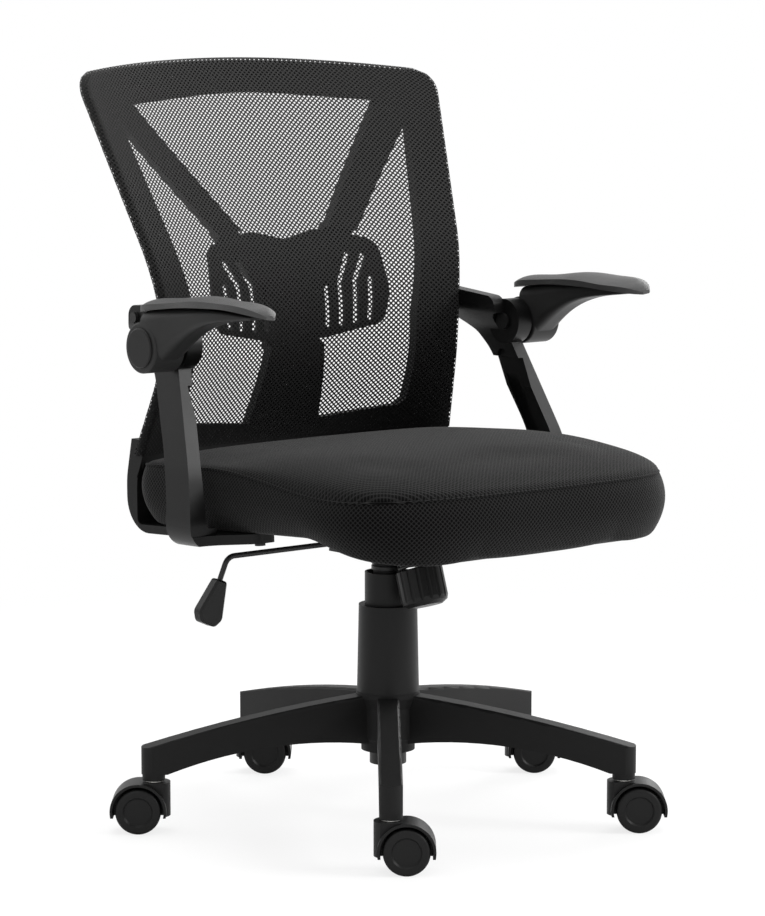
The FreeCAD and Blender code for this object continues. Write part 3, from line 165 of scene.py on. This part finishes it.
def mouldedPlastic(slot, colour, rough, gloss, grain, depth, specks):
    m = Maker(slot)
    fine = m.noise(grain, 3.0, 0.6)
    cloud = m.noise(9.0, 3.0, 0.55)
    speck = fine.ramp(0.58, 0.74) * specks
    tone = (speck + cloud * 0.35) * 0.7
    m.set(Base_Color=m.blend(tone, grey(colour * 0.82), grey(colour * 1.9, 0.01)),
          Roughness=rough - 0.06 + cloud * 0.14 + fine * 0.05,
          Normal=m.bump(fine, 0.55, depth))
    m.shader.inputs["Specular IOR Level"].default_value = gloss
    return m.material


def padSkin(slot):
    # self-skinned foam on the armrests, softer gloss and a leathery grain
    m = Maker(slot)
    pores = m.add("ShaderNodeTexVoronoi", {"feature": "DISTANCE_TO_EDGE"},
                  {"Vector": m.place(), "Scale": 620.0})
    creases = pores.ramp(0.0, 0.16)
    cloud = m.noise(14.0, 3.0)
    m.set(Base_Color=m.blend(cloud * 0.7, grey(0.012), grey(0.024, 0.01)), Roughness=0.46 + cloud * 0.16,
          Normal=m.bump(creases, 0.5, 0.00018))
    return m.material


def softRubber(slot):
    m = Maker(slot)
    cloud = m.noise(60.0, 4.0)
    m.set(Base_Color=m.blend(cloud, grey(0.014), grey(0.028)), Roughness=0.68 + cloud * 0.2,
          Normal=m.bump(m.noise(900.0), 0.3, 0.0001))
    return m.material


def platedSteel(slot):
    m = Maker(slot)
    x, y, z = m.parts(m.place())
    turned = m.add("ShaderNodeCombineXYZ", None, {0: x * 40, 1: y * 40, 2: z * 2600})
    lines = m.add("ShaderNodeTexNoise", None, {"Vector": turned, "Scale": 1.0, "Detail": 4.0})
    tint = m.noise(30.0, 4.0)
    m.set(Base_Color=m.blend(tint, (0.46, 0.47, 0.5, 1), (0.6, 0.58, 0.52, 1)), Roughness=0.26 + lines * 0.2)
    m.shader.inputs["Metallic"].default_value = 1.0
    return m.material


def powderCoat(slot):
    m = Maker(slot)
    peel = m.noise(520.0, 3.0, 0.55)
    dust = m.noise(22.0, 4.0)
    m.set(Base_Color=m.blend(dust, grey(0.007), grey(0.016)), Roughness=0.34 + dust * 0.16,
          Normal=m.bump(peel, 0.5, 0.0002))
    m.shader.inputs["Specular IOR Level"].default_value = 0.24
    return m.material


def plywood(slot):
    m = Maker(slot)
    x, y, z = m.parts(m.place())
    grainWay = m.add("ShaderNodeCombineXYZ", None, {0: x * 3, 1: y * 46, 2: z * 3})
    grain = m.add("ShaderNodeTexNoise", None,
                  {"Vector": grainWay, "Scale": 2.4, "Detail": 6.0, "Distortion": 0.6})
    pores = m.add("ShaderNodeCombineXYZ", None, {0: x * 30, 1: y * 900, 2: z * 400})
    fibre = m.add("ShaderNodeTexNoise", None, {"Vector": pores, "Scale": 1.0, "Detail": 3.0})
    tone = grain.ramp(0.32, 0.72) * 0.75 + fibre * 0.25
    m.set(Base_Color=m.blend(tone, (0.007, 0.006, 0.005, 1), (0.02, 0.017, 0.014, 1)),
          Roughness=0.58 + fibre * 0.2,
          Normal=m.bump(fibre, 0.4, 0.0003))
    return m.material


# knitted fabrics, drawn on the piece's own UV map, which is in metres
yarn = dict(wobble=0.07, roundness=1.4, softEdge=0.07, plyAcross=2600, plyAlong=5200, sheenRough=0.45, gloss=0.03)
knits = {
    # the net's last two values are painted shade: how far up from the lower edge it fades out, and how dark it is
    # at that edge
    "net_fabric": dict(across=0.0066, along=0.0029, hole=0.47, thread=0.024, shine=0.05, shadeRise=0.3, shadeTone=0.006),
    # the seat's last value is the near-black of its holes: the dark layer beneath, with painted shade inside the
    # holes
    "seat_fabric": dict(across=0.0052, along=0.0026, hole=0.6, thread=0.0115, shine=0.08, backingAndShadeTone=0.0005),
}


def knit(slot, across, along, hole, thread, shine, shadeRise=None, shadeTone=None, backingAndShadeTone=None):
    m = Maker(slot)
    u, v = m.parts(m.place("UV"))[:2]
    wobble = (m.noise(240.0, 2.0) - 0.5) * yarn["wobble"]
    row = v / along + wobble
    shift = (row.floor() * 0.5).fraction()
    fu = ((u / across + shift + wobble * 0.6).fraction() - 0.5) * 2
    fv = (row.fraction() - 0.5) * 2
    # the holes of a row reach half way into the rows above and below
    roundness = yarn["roundness"]
    own = fu.size().power(roundness) + (fv.size() * 0.5).power(roundness)
    reach = (1 - fu.size()).power(roundness) + (1 - fv.size() * 0.5).power(roundness)
    near = m.add("ShaderNodeMath", {"operation": "MINIMUM"}, {0: own, 1: reach}).power(1 / roundness)
    solid = near.ramp(hole - yarn["softEdge"], hole + yarn["softEdge"])
    ridge = ((near - hole) * 2.4).ramp(0.0, 1.0)
    plies = (u * yarn["plyAcross"] + v * yarn["plyAlong"]).sine() * 0.5 + 0.5
    fuzz = m.noise(1900.0, 2.0)
    # painted highlight along the crown of each yarn and painted shade in the grooves between plies, mixed with
    # random fuzz tone
    highlightAndFuzz = ridge * 0.5 + plies * 0.3 + fuzz * 0.2
    thin = m.blend(highlightAndFuzz, grey(thread * 0.45), grey(thread * 1.5, 0.01))
    height = solid * 0.7 + ridge * 0.2 + plies * 0.1
    m.set(Roughness=0.72 + fuzz * 0.2, Normal=m.bump(height, 0.7, 0.0007))
    if shadeRise:
        # open net, with painted shade darkening it towards the lower edge by the seat
        m.set(Base_Color=m.blend(v.ramp(0.0, shadeRise), grey(shadeTone), thin), Alpha=solid)
    else:
        # holes near black: the dark layer under the knit, plus painted shade inside the holes
        m.set(Base_Color=m.blend(solid, grey(backingAndShadeTone), thin))
    m.shader.inputs["Sheen Weight"].default_value = shine
    m.shader.inputs["Sheen Roughness"].default_value = yarn["sheenRough"]
    m.shader.inputs["Specular IOR Level"].default_value = yarn["gloss"]
    return m.material


finishes = {slot: mouldedPlastic(slot, **values) for slot, values in plastics.items()}
finishes["pad_skin"] = padSkin("pad_skin")
finishes["soft_rubber"] = softRubber("soft_rubber")
finishes["steel"] = platedSteel("steel")
finishes["dark_steel"] = powderCoat("dark_steel")
finishes["plywood"] = plywood("plywood")
for slot, values in knits.items():
    finishes[slot] = knit(slot, **values)

# the arm bodies are a paler batch of the same plastic, and the stand tube is painted black
special = {"arm_body_left": "armBody", "arm_body_right": "armBody", "stand_tube": "dark_steel"}
for entry in frame["record"]["subparts"]:
    slots = frame["nodes"][entry["node"]].data.materials
    slots.clear()
    slots.append(finishes[special.get(entry["node"], entry["material_slot"])])
print("finishes on", len(frame["nodes"]), "CAD nodes")


def newPiece(name, points, faces, slot, body):
    mesh = bpy.data.meshes.new(name)
    mesh.from_pydata(points, [], faces)
    mesh.materials.append(finishes[slot])
    piece = bpy.data.objects.new(name, mesh)
    scene.collection.objects.link(piece)
    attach(piece, body)
    return piece


def only(piece):
    bpy.ops.object.select_all(action="DESELECT")
    piece.select_set(True)
    bpy.context.view_layer.objects.active = piece


# net of the backrest, on the frame's own curved surface
net = dict(low=0.423, riseFrom=0.76, cornerZ=0.855, top=0.872, corner=0.024, curve=0.64, lumbarZ=0.569,
           lumbarY=0.1265, lumbarRadius=0.26, upperLean=22.9, lowerLean=17.5, waistZ=0.551, waistHalf=0.2178,
           waistRadius=0.415, upperFlare=9.93, lowerFlare=8.5, across=110, up=104, proud=0.0004,
           # the way round the frame's edge, each step outward and back
           wrap=((0.0022, 0.002), (0.0032, 0.007), (0.0028, 0.0145), (-0.002, 0.0185), (-0.013, 0.0185)))


def bendLine(z, middle, least, radius, upper, lower):
    up, down = math.radians(upper), math.radians(lower)
    high, low = middle + radius * math.sin(up), middle - radius * math.sin(down)
    if z > high:
        return least + radius * (1 - math.cos(up)) + (z - high) * math.tan(up)
    if z < low:
        return least + radius * (1 - math.cos(down)) + (low - z) * math.tan(down)
    return least + radius - math.sqrt(radius ** 2 - (z - middle) ** 2)


def edgeY(z):
    return bendLine(z, net["lumbarZ"], net["lumbarY"], net["lumbarRadius"],
                    net["upperLean"], net["lowerLean"])


def edgeX(z):
    return bendLine(z, net["waistZ"], net["waistHalf"], net["waistRadius"],
                    net["upperFlare"], net["lowerFlare"])


def backY(x, z):
    return edgeY(z) + (edgeX(z) ** 2 - x ** 2) / (2 * net["curve"])


def netPoint(s, t):
    z = net["low"] + t * (net["cornerZ"] - net["low"])
    half = edgeX(z)
    into = z - (net["cornerZ"] - net["corner"])
    if into > 0:
        half -= net["corner"] - math.sqrt(max(0.0, net["corner"] ** 2 - into ** 2))
    x = s * half
    rise = max(0.0, min(1.0, (z - net["riseFrom"]) / (net["cornerZ"] - net["riseFrom"])))
    z += (net["top"] - net["cornerZ"]) * (1 - (x / edgeX(net["cornerZ"])) ** 2) * rise ** 2
    return Vector((x, backY(x, z) - net["proud"], z))


def makeNet():
    columns, rows = net["across"], net["up"]
    points = [netPoint(2 * i / columns - 1, j / rows) for j in range(rows + 1) for i in range(columns + 1)]
    faces = []
    for j in range(rows):
        for i in range(columns):
            a = j * (columns + 1) + i
            faces.append((a, a + 1, a + columns + 2, a + columns + 1))
    arc = [0.0]
    for j in range(rows):
        arc.append(arc[-1] + (netPoint(0, (j + 1) / rows) - netPoint(0, j / rows)).length)
    uvs = []
    for j in range(rows + 1):
        for i in range(columns + 1):
            p = points[j * (columns + 1) + i]
            uvs.append((net["curve"] * math.asin(p.x / net["curve"]), arc[j]))
    # the rim goes on round the frame: up one side, over the top and down the other
    rim = [j * (columns + 1) for j in range(rows + 1)]
    rim += [rows * (columns + 1) + i for i in range(1, columns + 1)]
    rim += [j * (columns + 1) + columns for j in range(rows - 1, -1, -1)]
    previous = rim
    run = 0.0
    last = (0.0, 0.0)
    for out, back in net["wrap"]:
        run += math.hypot(out - last[0], back - last[1])
        last = (out, back)
        ring = []
        for k, index in enumerate(rim):
            before = points[rim[max(0, k - 1)]]
            after = points[rim[min(len(rim) - 1, k + 1)]]
            tangent = after - before
            outward = Vector((-tangent.z, 0, tangent.x)).normalized()
            p = points[index]
            x, z = p.x + outward.x * out, p.z + outward.z * out
            ring.append(len(points))
            points.append(Vector((x, backY(p.x, p.z) - net["proud"] + back, z)))
            uvs.append((uvs[index][0] + outward.x * run, uvs[index][1] + outward.z * run))
        for k in range(len(rim) - 1):
            faces.append((previous[k], previous[k + 1], ring[k + 1], ring[k]))
        previous = ring
    piece = newPiece("backNet", points, faces, "net_fabric", "seat")
    layer = piece.data.uv_layers.new(name="cloth")
    for loop in piece.data.loops:
        layer.data[loop.index].uv = uvs[loop.vertex_index]
    only(piece)
    bpy.ops.object.mode_set(mode="EDIT")
    bpy.ops.mesh.select_all(action="SELECT")
    bpy.ops.mesh.normals_make_consistent(inside=False)
    bpy.ops.object.mode_set(mode="OBJECT")
    bpy.ops.object.shade_smooth()
    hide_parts("back_net")


makeNet()

# seat cushion: top and side panel on the CAD's own outline, sewn along the seam and blown up as cloth
seat = dict(pitch=3.4, under=0.353, front=-0.281, rear=0.173, halfWidth=0.239, waist=0.004, frontRound=5.0,
            rearRound=24.0, lowRound=12.0, endShare=0.985, height=0.079, crown=0.009, crownPower=2.6,
            bulge=0.006, tuck=0.010, rollStart=-0.04, rollRadius=1.3, fallStart=-0.15, fallRadius=0.19,
            outlineSteps=2000, across=72, along=76, sideRows=14, lip=0.93, lipStep=0.01, lipDrop=0.0004,
            boardLift=0.006, edgeRoll=0.058, rollPower=1.8, rearSeam=0.071, frontSeam=0.042, dipStart=0.03,
            dipEnd=-0.215, hang=0.012, hangAt=-0.2, hangReach=0.075, pressure=2.5, frames=18, cap=0.003,
            evening=8, piping=0.0013)
seatMiddle = (seat["front"] + seat["rear"]) / 2
seatHalf = (seat["rear"] - seat["front"]) / 2


def fromSeat(x, y, z):
    c, s = math.cos(math.radians(seat["pitch"])), math.sin(math.radians(seat["pitch"]))
    return Vector((x, y * c + z * s, z * c - y * s + seat["under"]))


def seatWidth(share):
    power = seat["frontRound"] if share < 0 else seat["rearRound"]
    waisted = seat["halfWidth"] - seat["waist"] * (1 - share ** 2)
    return waisted * max(0.0, 1 - abs(share) ** power) ** (1 / 3)


def topAt(y):
    return seat["height"] - max(0.0, seat["rollStart"] - y) ** 2 / (2 * seat["rollRadius"])


def lowAt(y):
    run = max(0.0, seat["fallStart"] - y)
    return math.sqrt(seat["fallRadius"] ** 2 - run ** 2) - seat["fallRadius"]


def seamAt(y):
    # the seam lies below the rolled edge of the top and falls in a long S towards the front
    t = max(0.0, min(1.0, (seat["dipStart"] - y) / (seat["dipStart"] - seat["dipEnd"])))
    return seat["rearSeam"] + (seat["frontSeam"] - seat["rearSeam"]) * t * t * (3 - 2 * t)


def edgesAt(y):
    # heights of the lower edge, drawn up at the ends and hanging in front of the arm, and of the seam
    share = min(seat["endShare"], abs(y - seatMiddle) / seatHalf)
    centre = (lowAt(y) + topAt(y)) / 2
    low = centre + (lowAt(y) - centre) * (1 - share ** seat["lowRound"]) ** (1 / 3)
    sag = max(0.0, 1 - ((y - seat["hangAt"]) / seat["hangReach"]) ** 2) ** 2
    return low - seat["hang"] * sag, seamAt(y)


def resample(line, count):
    # evenly spaced points on a polyline, both ends included
    runs = [0.0]
    for a, b in zip(line, line[1:]):
        runs.append(runs[-1] + (b - a).length)
    points, k = [], 0
    for i in range(count + 1):
        want = runs[-1] * i / count
        while k < len(runs) - 2 and runs[k + 1] < want:
            k += 1
        points.append(line[k].lerp(line[k + 1], (want - runs[k]) / max(1e-9, runs[k + 1] - runs[k])))
    return points


def seatRim():
    # plan outline from the front left corner round by the front, right, rear and left
    right = []
    steps = seat["outlineSteps"]
    for i in range(1, 2 * steps + 1):
        share = math.copysign(1 - abs(1 - abs(i / steps - 1)) ** 3, i - steps)
        right.append(Vector((seatWidth(share), seatMiddle + share * seatHalf)))
    frontCorner = max(range(len(right)), key=lambda i: right[i].x - right[i].y)
    rearCorner = max(range(len(right)), key=lambda i: right[i].x + right[i].y)
    frontLine = right[:frontCorner + 1]
    sideLine = right[frontCorner:rearCorner + 1]
    rearLine = right[rearCorner:]

    def flip(line):
        return [Vector((-p.x, p.y)) for p in reversed(line)]

    return (resample(flip(frontLine) + frontLine, seat["across"])[:-1]
            + resample(sideLine, seat["along"])[:-1]
            + resample(rearLine + flip(rearLine), seat["across"])[:-1]
            + resample(flip(sideLine), seat["along"])[:-1])


def patch(ring, points, inside, faces, upwards):
    # grid of quads across a closed ring of vertices; inside(point) gives the place of each new one
    across, along = seat["across"], seat["along"]
    front = ring[:across + 1]
    side = ring[across:across + along + 1]
    rear = list(reversed(ring[across + along:2 * across + along + 1]))
    left = [ring[0]] + list(reversed(ring[2 * across + along:]))
    at = {}
    for i in range(across + 1):
        at[i, 0], at[i, along] = front[i], rear[i]
    for j in range(along + 1):
        at[0, j], at[across, j] = left[j], side[j]
    for j in range(1, along):
        for i in range(1, across):
            u, v = i / across, j / along
            p = (points[at[i, 0]] * (1 - v) + points[at[i, along]] * v + points[at[0, j]] * (1 - u)
                 + points[at[across, j]] * u - points[front[0]] * (1 - u) * (1 - v)
                 - points[front[-1]] * u * (1 - v) - points[rear[0]] * (1 - u) * v - points[rear[-1]] * u * v)
            at[i, j] = len(points)
            points.append(inside(p))
    for j in range(along):
        for i in range(across):
            quad = (at[i, j], at[i + 1, j], at[i + 1, j + 1], at[i, j + 1])
            faces.append(quad if upwards else quad[::-1])


def makeCushion():
    rim = seatRim()
    count = len(rim)
    runs = [0.0]
    for i in range(count):
        runs.append(runs[-1] + (rim[(i + 1) % count] - rim[i]).length)
    points, faces, rings = [], [], []

    def ring(place):
        rings.append(list(range(len(points), len(points) + count)))
        for i, p in enumerate(rim):
            along = rim[(i + 1) % count] - rim[i - 1]
            points.append(Vector(place(p, Vector((along.y, -along.x)).normalized(), *edgesAt(p.y))))

    def inner(share, lift):
        # plan outline drawn in about the middle, at the height of the board
        def place(p, out, low, high):
            q = Vector((p.x * share, seatMiddle + (p.y - seatMiddle) * share)) - out * seat["tuck"]
            return q.x, q.y, lowAt(q.y) + lift
        return place

    ring(inner(seat["lip"] - seat["lipStep"], seat["boardLift"]))
    ring(inner(seat["lip"], -seat["lipDrop"]))
    bow = 4 * seat["bulge"] + 2 * seat["tuck"]
    for row in range(seat["sideRows"] + 1):
        share = row / seat["sideRows"]

        def side(p, out, low, high):
            away = -bow * share ** 2 + (bow + seat["tuck"]) * share - seat["tuck"]
            return p.x + out.x * away, p.y + out.y * away, low + (high - low) * share

        ring(side)
    for a, b in zip(rings, rings[1:]):
        for i in range(count):
            k = (i + 1) % count
            faces.append((a[i], a[k], b[k], b[i]))
    kinds = ["side"] * len(faces)

    outline = resample(rim + rim[:1], count * 8)
    tree = kdtree.KDTree(len(outline))
    for i, p in enumerate(outline):
        tree.insert((p.x, p.y, 0), i)
    tree.balance()

    def crowned(p):
        # gently crowned in the middle, rolled over to the seam along the rim
        nearest, index, gap = tree.find((p.x, p.y, 0))
        inset = min(1.0, gap / seat["edgeRoll"])
        full = (1 - (1 - inset) ** seat["rollPower"]) ** (1 / seat["rollPower"])
        wide = min(1.0, abs(p.x) / seat["halfWidth"]) ** seat["crownPower"]
        deep = min(1.0, abs(p.y - seatMiddle) / seatHalf) ** seat["crownPower"]
        crown = seat["crown"] * (1 - wide) * (1 - deep)
        return Vector((p.x, p.y, topAt(p.y) + crown - (topAt(nearest.y) - seamAt(nearest.y)) * (1 - full)))

    seam = rings[-1]
    patch(seam, points, crowned, faces, True)
    kinds += ["top"] * (len(faces) - len(kinds))
    firstUnder = len(points)
    patch(rings[0], points, lambda p: Vector((p.x, p.y, lowAt(p.y) + seat["boardLift"])), faces, False)
    kinds += ["under"] * (len(faces) - len(kinds))
    flat = [p.copy() for p in points]
    pad = newPiece("seatPad", [fromSeat(*p) for p in points], faces, "seat_fabric", "seat")
    layer = pad.data.uv_layers.new(name="cloth")
    for face, kind in zip(pad.data.polygons, kinds):
        for corner, loop in enumerate(face.loop_indices):
            index = pad.data.loops[loop].vertex_index
            p = flat[index]
            if kind == "side":
                step = index % count + (1 if corner in (1, 2) and index % count == 0 else 0) * count
                layer.data[loop].uv = (runs[step], p.z)
            else:
                layer.data[loop].uv = (p.x, p.y)
    held = pad.vertex_groups.new(name="held")
    held.add(rings[0] + rings[1] + rings[2] + rings[3] + seam, 1.0, "REPLACE")
    held.add(list(range(firstUnder, len(points))), 1.0, "REPLACE")
    only(pad)
    start = [v.co.copy() for v in pad.data.vertices]
    tight = [len(v.groups) > 0 for v in pad.data.vertices]
    cloth = pad.modifiers.new("cloth", "CLOTH")
    cloth.settings.vertex_group_mass = "held"
    cloth.settings.use_pressure = True
    cloth.settings.uniform_pressure_force = seat["pressure"]
    cloth.settings.effector_weights.gravity = 0.0
    cloth.settings.quality = 4
    for f in range(1, seat["frames"] + 1):
        scene.frame_set(f)
    bpy.ops.object.modifier_apply(modifier=cloth.name)
    scene.frame_set(1)
    # the cloth's moves are capped and evened out, which keeps the panels free of wrinkles
    moves = [v.co - home for v, home in zip(pad.data.vertices, start)]
    moves = [move * min(1.0, seat["cap"] / max(1e-9, move.length)) for move in moves]
    beside = [[] for home in start]
    for edge in pad.data.edges:
        a, b = edge.vertices
        beside[a].append(b)
        beside[b].append(a)
    for turn in range(seat["evening"]):
        moves = [move if stiff else sum((moves[k] for k in near), move) / (len(near) + 1)
                 for move, near, stiff in zip(moves, beside, tight)]
    for v, home, move in zip(pad.data.vertices, start, moves):
        v.co = home + move
    seamLine = [pad.data.vertices[i].co.copy() for i in seam]
    finer = pad.modifiers.new("finer", "SUBSURF")
    finer.levels = 1
    finer.render_levels = 1
    bpy.ops.object.modifier_apply(modifier=finer.name)
    bpy.ops.object.shade_smooth()
    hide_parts("seat_cushion")
    print("cushion of", len(pad.data.polygons), "faces")
    return seamLine


def makePiping(seamLine):
    # thin welt along the seam
    line = bpy.data.curves.new("seatWelt", "CURVE")
    line.dimensions = "3D"
    line.bevel_depth = seat["piping"]
    line.bevel_resolution = 2
    line.resolution_u = 2
    spline = line.splines.new("NURBS")
    spline.points.add(len(seamLine) - 1)
    for point, p in zip(spline.points, seamLine):
        point.co = (*p, 1)
    spline.use_cyclic_u = True
    spline.order_u = 4
    welt = bpy.data.objects.new("seatWelt", line)
    scene.collection.objects.link(welt)
    only(welt)
    bpy.ops.object.convert(target="MESH")
    bpy.ops.object.shade_smooth()
    welt = bpy.context.view_layer.objects.active
    layer = welt.data.uv_layers.active or welt.data.uv_layers.new(name="cloth")
    for face in welt.data.polygons:
        for loopIndex in face.loop_indices:
            p = welt.data.vertices[welt.data.loops[loopIndex].vertex_index].co
            layer.data[loopIndex].uv = (p.x + p.y, p.z)
    welt.data.materials.clear()
    welt.data.materials.append(finishes["seat_fabric"])
    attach(welt, "seat")
    print("welt of", len(welt.data.polygons), "faces")


makePiping(makeCushion())

# tension spring: a welded, smoothed copy of the CAD node, its foot in the knob and its head at the housing
spring = dict(foot=(0.0, -0.068, 0.254), lean=18.0, bendFrom=0.0435, bendTo=0.066, weld=0.000002, smooth=40)


def makeSpring():
    coil = bpy.data.objects.new("tensionSpring", frame["nodes"]["tension_spring"].data.copy())
    scene.collection.objects.link(coil)
    only(coil)
    bpy.ops.object.mode_set(mode="EDIT")
    bpy.ops.mesh.select_all(action="SELECT")
    bpy.ops.mesh.remove_doubles(threshold=spring["weld"])
    bpy.ops.object.mode_set(mode="OBJECT")
    bpy.ops.object.shade_smooth_by_angle(angle=math.radians(spring["smooth"]))
    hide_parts("tension_spring")
    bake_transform(coil)
    print("spring of", len(coil.data.polygons), "faces")


makeSpring()

# floor, light and camera
studio = dict(floorSize=14.0, floorTone=0.88, floorGlow=0.78, glowFrom=0.6, glowTo=1.6, world=0.34,
              eye=(-2.4963, -2.9748, 0.9138), aim=(0.0, 0.0, 0.423), focal=3393.0,
              imageWidth=765, imageHeight=916, centreX=388.0, centreY=453.7)


def turnTo(at, aim):
    return (Vector(aim) - Vector(at)).to_track_quat("-Z", "Y").to_euler()


bpy.ops.object.select_all(action="DESELECT")
bpy.ops.mesh.primitive_plane_add(size=studio["floorSize"], location=(0, 0, 0))
floor = bpy.context.active_object
floor.name = "studioFloor"
ground = Maker("studioFloor")
tone = studio["floorTone"]
ground.set(Base_Color=ground.blend(ground.noise(3.0), grey(tone), grey(tone + 0.03)), Roughness=0.9)
rays = ground.tree.nodes.new("ShaderNodeLightPath")
floorX, floorY = ground.parts(ground.place())[:2]
reach = (floorX.power(2) + floorY.power(2)).power(0.5)
bright = studio["floorGlow"] + (1 - studio["floorGlow"]) * reach.ramp(studio["glowFrom"], studio["glowTo"])
seen = Flow(ground, rays.outputs["Is Camera Ray"]) * bright
glow = ground.add("ShaderNodeEmission", None, {"Color": (1, 1, 1, 1), "Strength": 1.0})
mixed = ground.add("ShaderNodeMixShader", None, {0: seen, 1: Flow(ground, ground.shader.outputs[0]), 2: glow})
ground.tree.links.new(mixed.socket, ground.tree.nodes["Material Output"].inputs["Surface"])
floor.data.materials.append(ground.material)

world = bpy.data.worlds.new("studioWorld")
scene.world = world
world.use_nodes = True
sky = world.node_tree
path = sky.nodes.new("ShaderNodeLightPath")
plain = sky.nodes["Background"]
plain.inputs["Color"].default_value = (1, 1, 1, 1)
plain.inputs["Strength"].default_value = studio["world"]
white = sky.nodes.new("ShaderNodeBackground")
white.inputs["Color"].default_value = (1, 1, 1, 1)
white.inputs["Strength"].default_value = 1.0
either = None
for ray in ("Is Camera Ray", "Is Glossy Ray", "Is Transmission Ray"):
    joined = sky.nodes.new("ShaderNodeMath")
    joined.operation = "MAXIMUM"
    sky.links.new(path.outputs[ray], joined.inputs[0])
    if either:
        sky.links.new(either.outputs[0], joined.inputs[1])
    either = joined
choose = sky.nodes.new("ShaderNodeMixShader")
sky.links.new(either.outputs[0], choose.inputs[0])
sky.links.new(plain.outputs[0], choose.inputs[1])
sky.links.new(white.outputs[0], choose.inputs[2])
sky.links.new(choose.outputs[0], sky.nodes["World Output"].inputs["Surface"])

lamps = {
    "softLeft": dict(at=(-3.0, -1.2, 2.2), aim=(0, 0, 0.5), size=2.2, power=18),
    "softFront": dict(at=(2.3, -2.8, 2.4), aim=(0, 0, 0.5), size=1.5, power=120),
    "softTop": dict(at=(0.2, 0.4, 3.4), aim=(0, 0, 0.4), size=2.6, power=82),
    "rimRight": dict(at=(3.0, 0.9, 1.7), aim=(0, 0, 0.5), size=1.6, power=50),
    "rimBack": dict(at=(-1.4, 3.2, 2.0), aim=(0, 0, 0.5), size=2.0, power=20),
}
for name, lamp in lamps.items():
    data = bpy.data.lights.new(name, "AREA")
    data.energy = lamp["power"]
    data.size = lamp["size"]
    lightObject = bpy.data.objects.new(name, data)
    lightObject.location = lamp["at"]
    lightObject.rotation_euler = turnTo(lamp["at"], lamp["aim"])
    scene.collection.objects.link(lightObject)

lens = bpy.data.cameras.new("photoView")
lens.sensor_fit = "VERTICAL"
lens.sensor_height = 24.0
lens.lens = studio["focal"] / studio["imageHeight"] * lens.sensor_height
lens.shift_x = (studio["imageWidth"] / 2 - studio["centreX"]) / studio["imageHeight"]
lens.shift_y = (studio["centreY"] - studio["imageHeight"] / 2) / studio["imageHeight"]
lens.clip_end = 60
camera = bpy.data.objects.new("photoView", lens)
camera.location = studio["eye"]
camera.rotation_euler = turnTo(studio["eye"], studio["aim"])
scene.collection.objects.link(camera)
scene.camera = camera
print("studio ready")
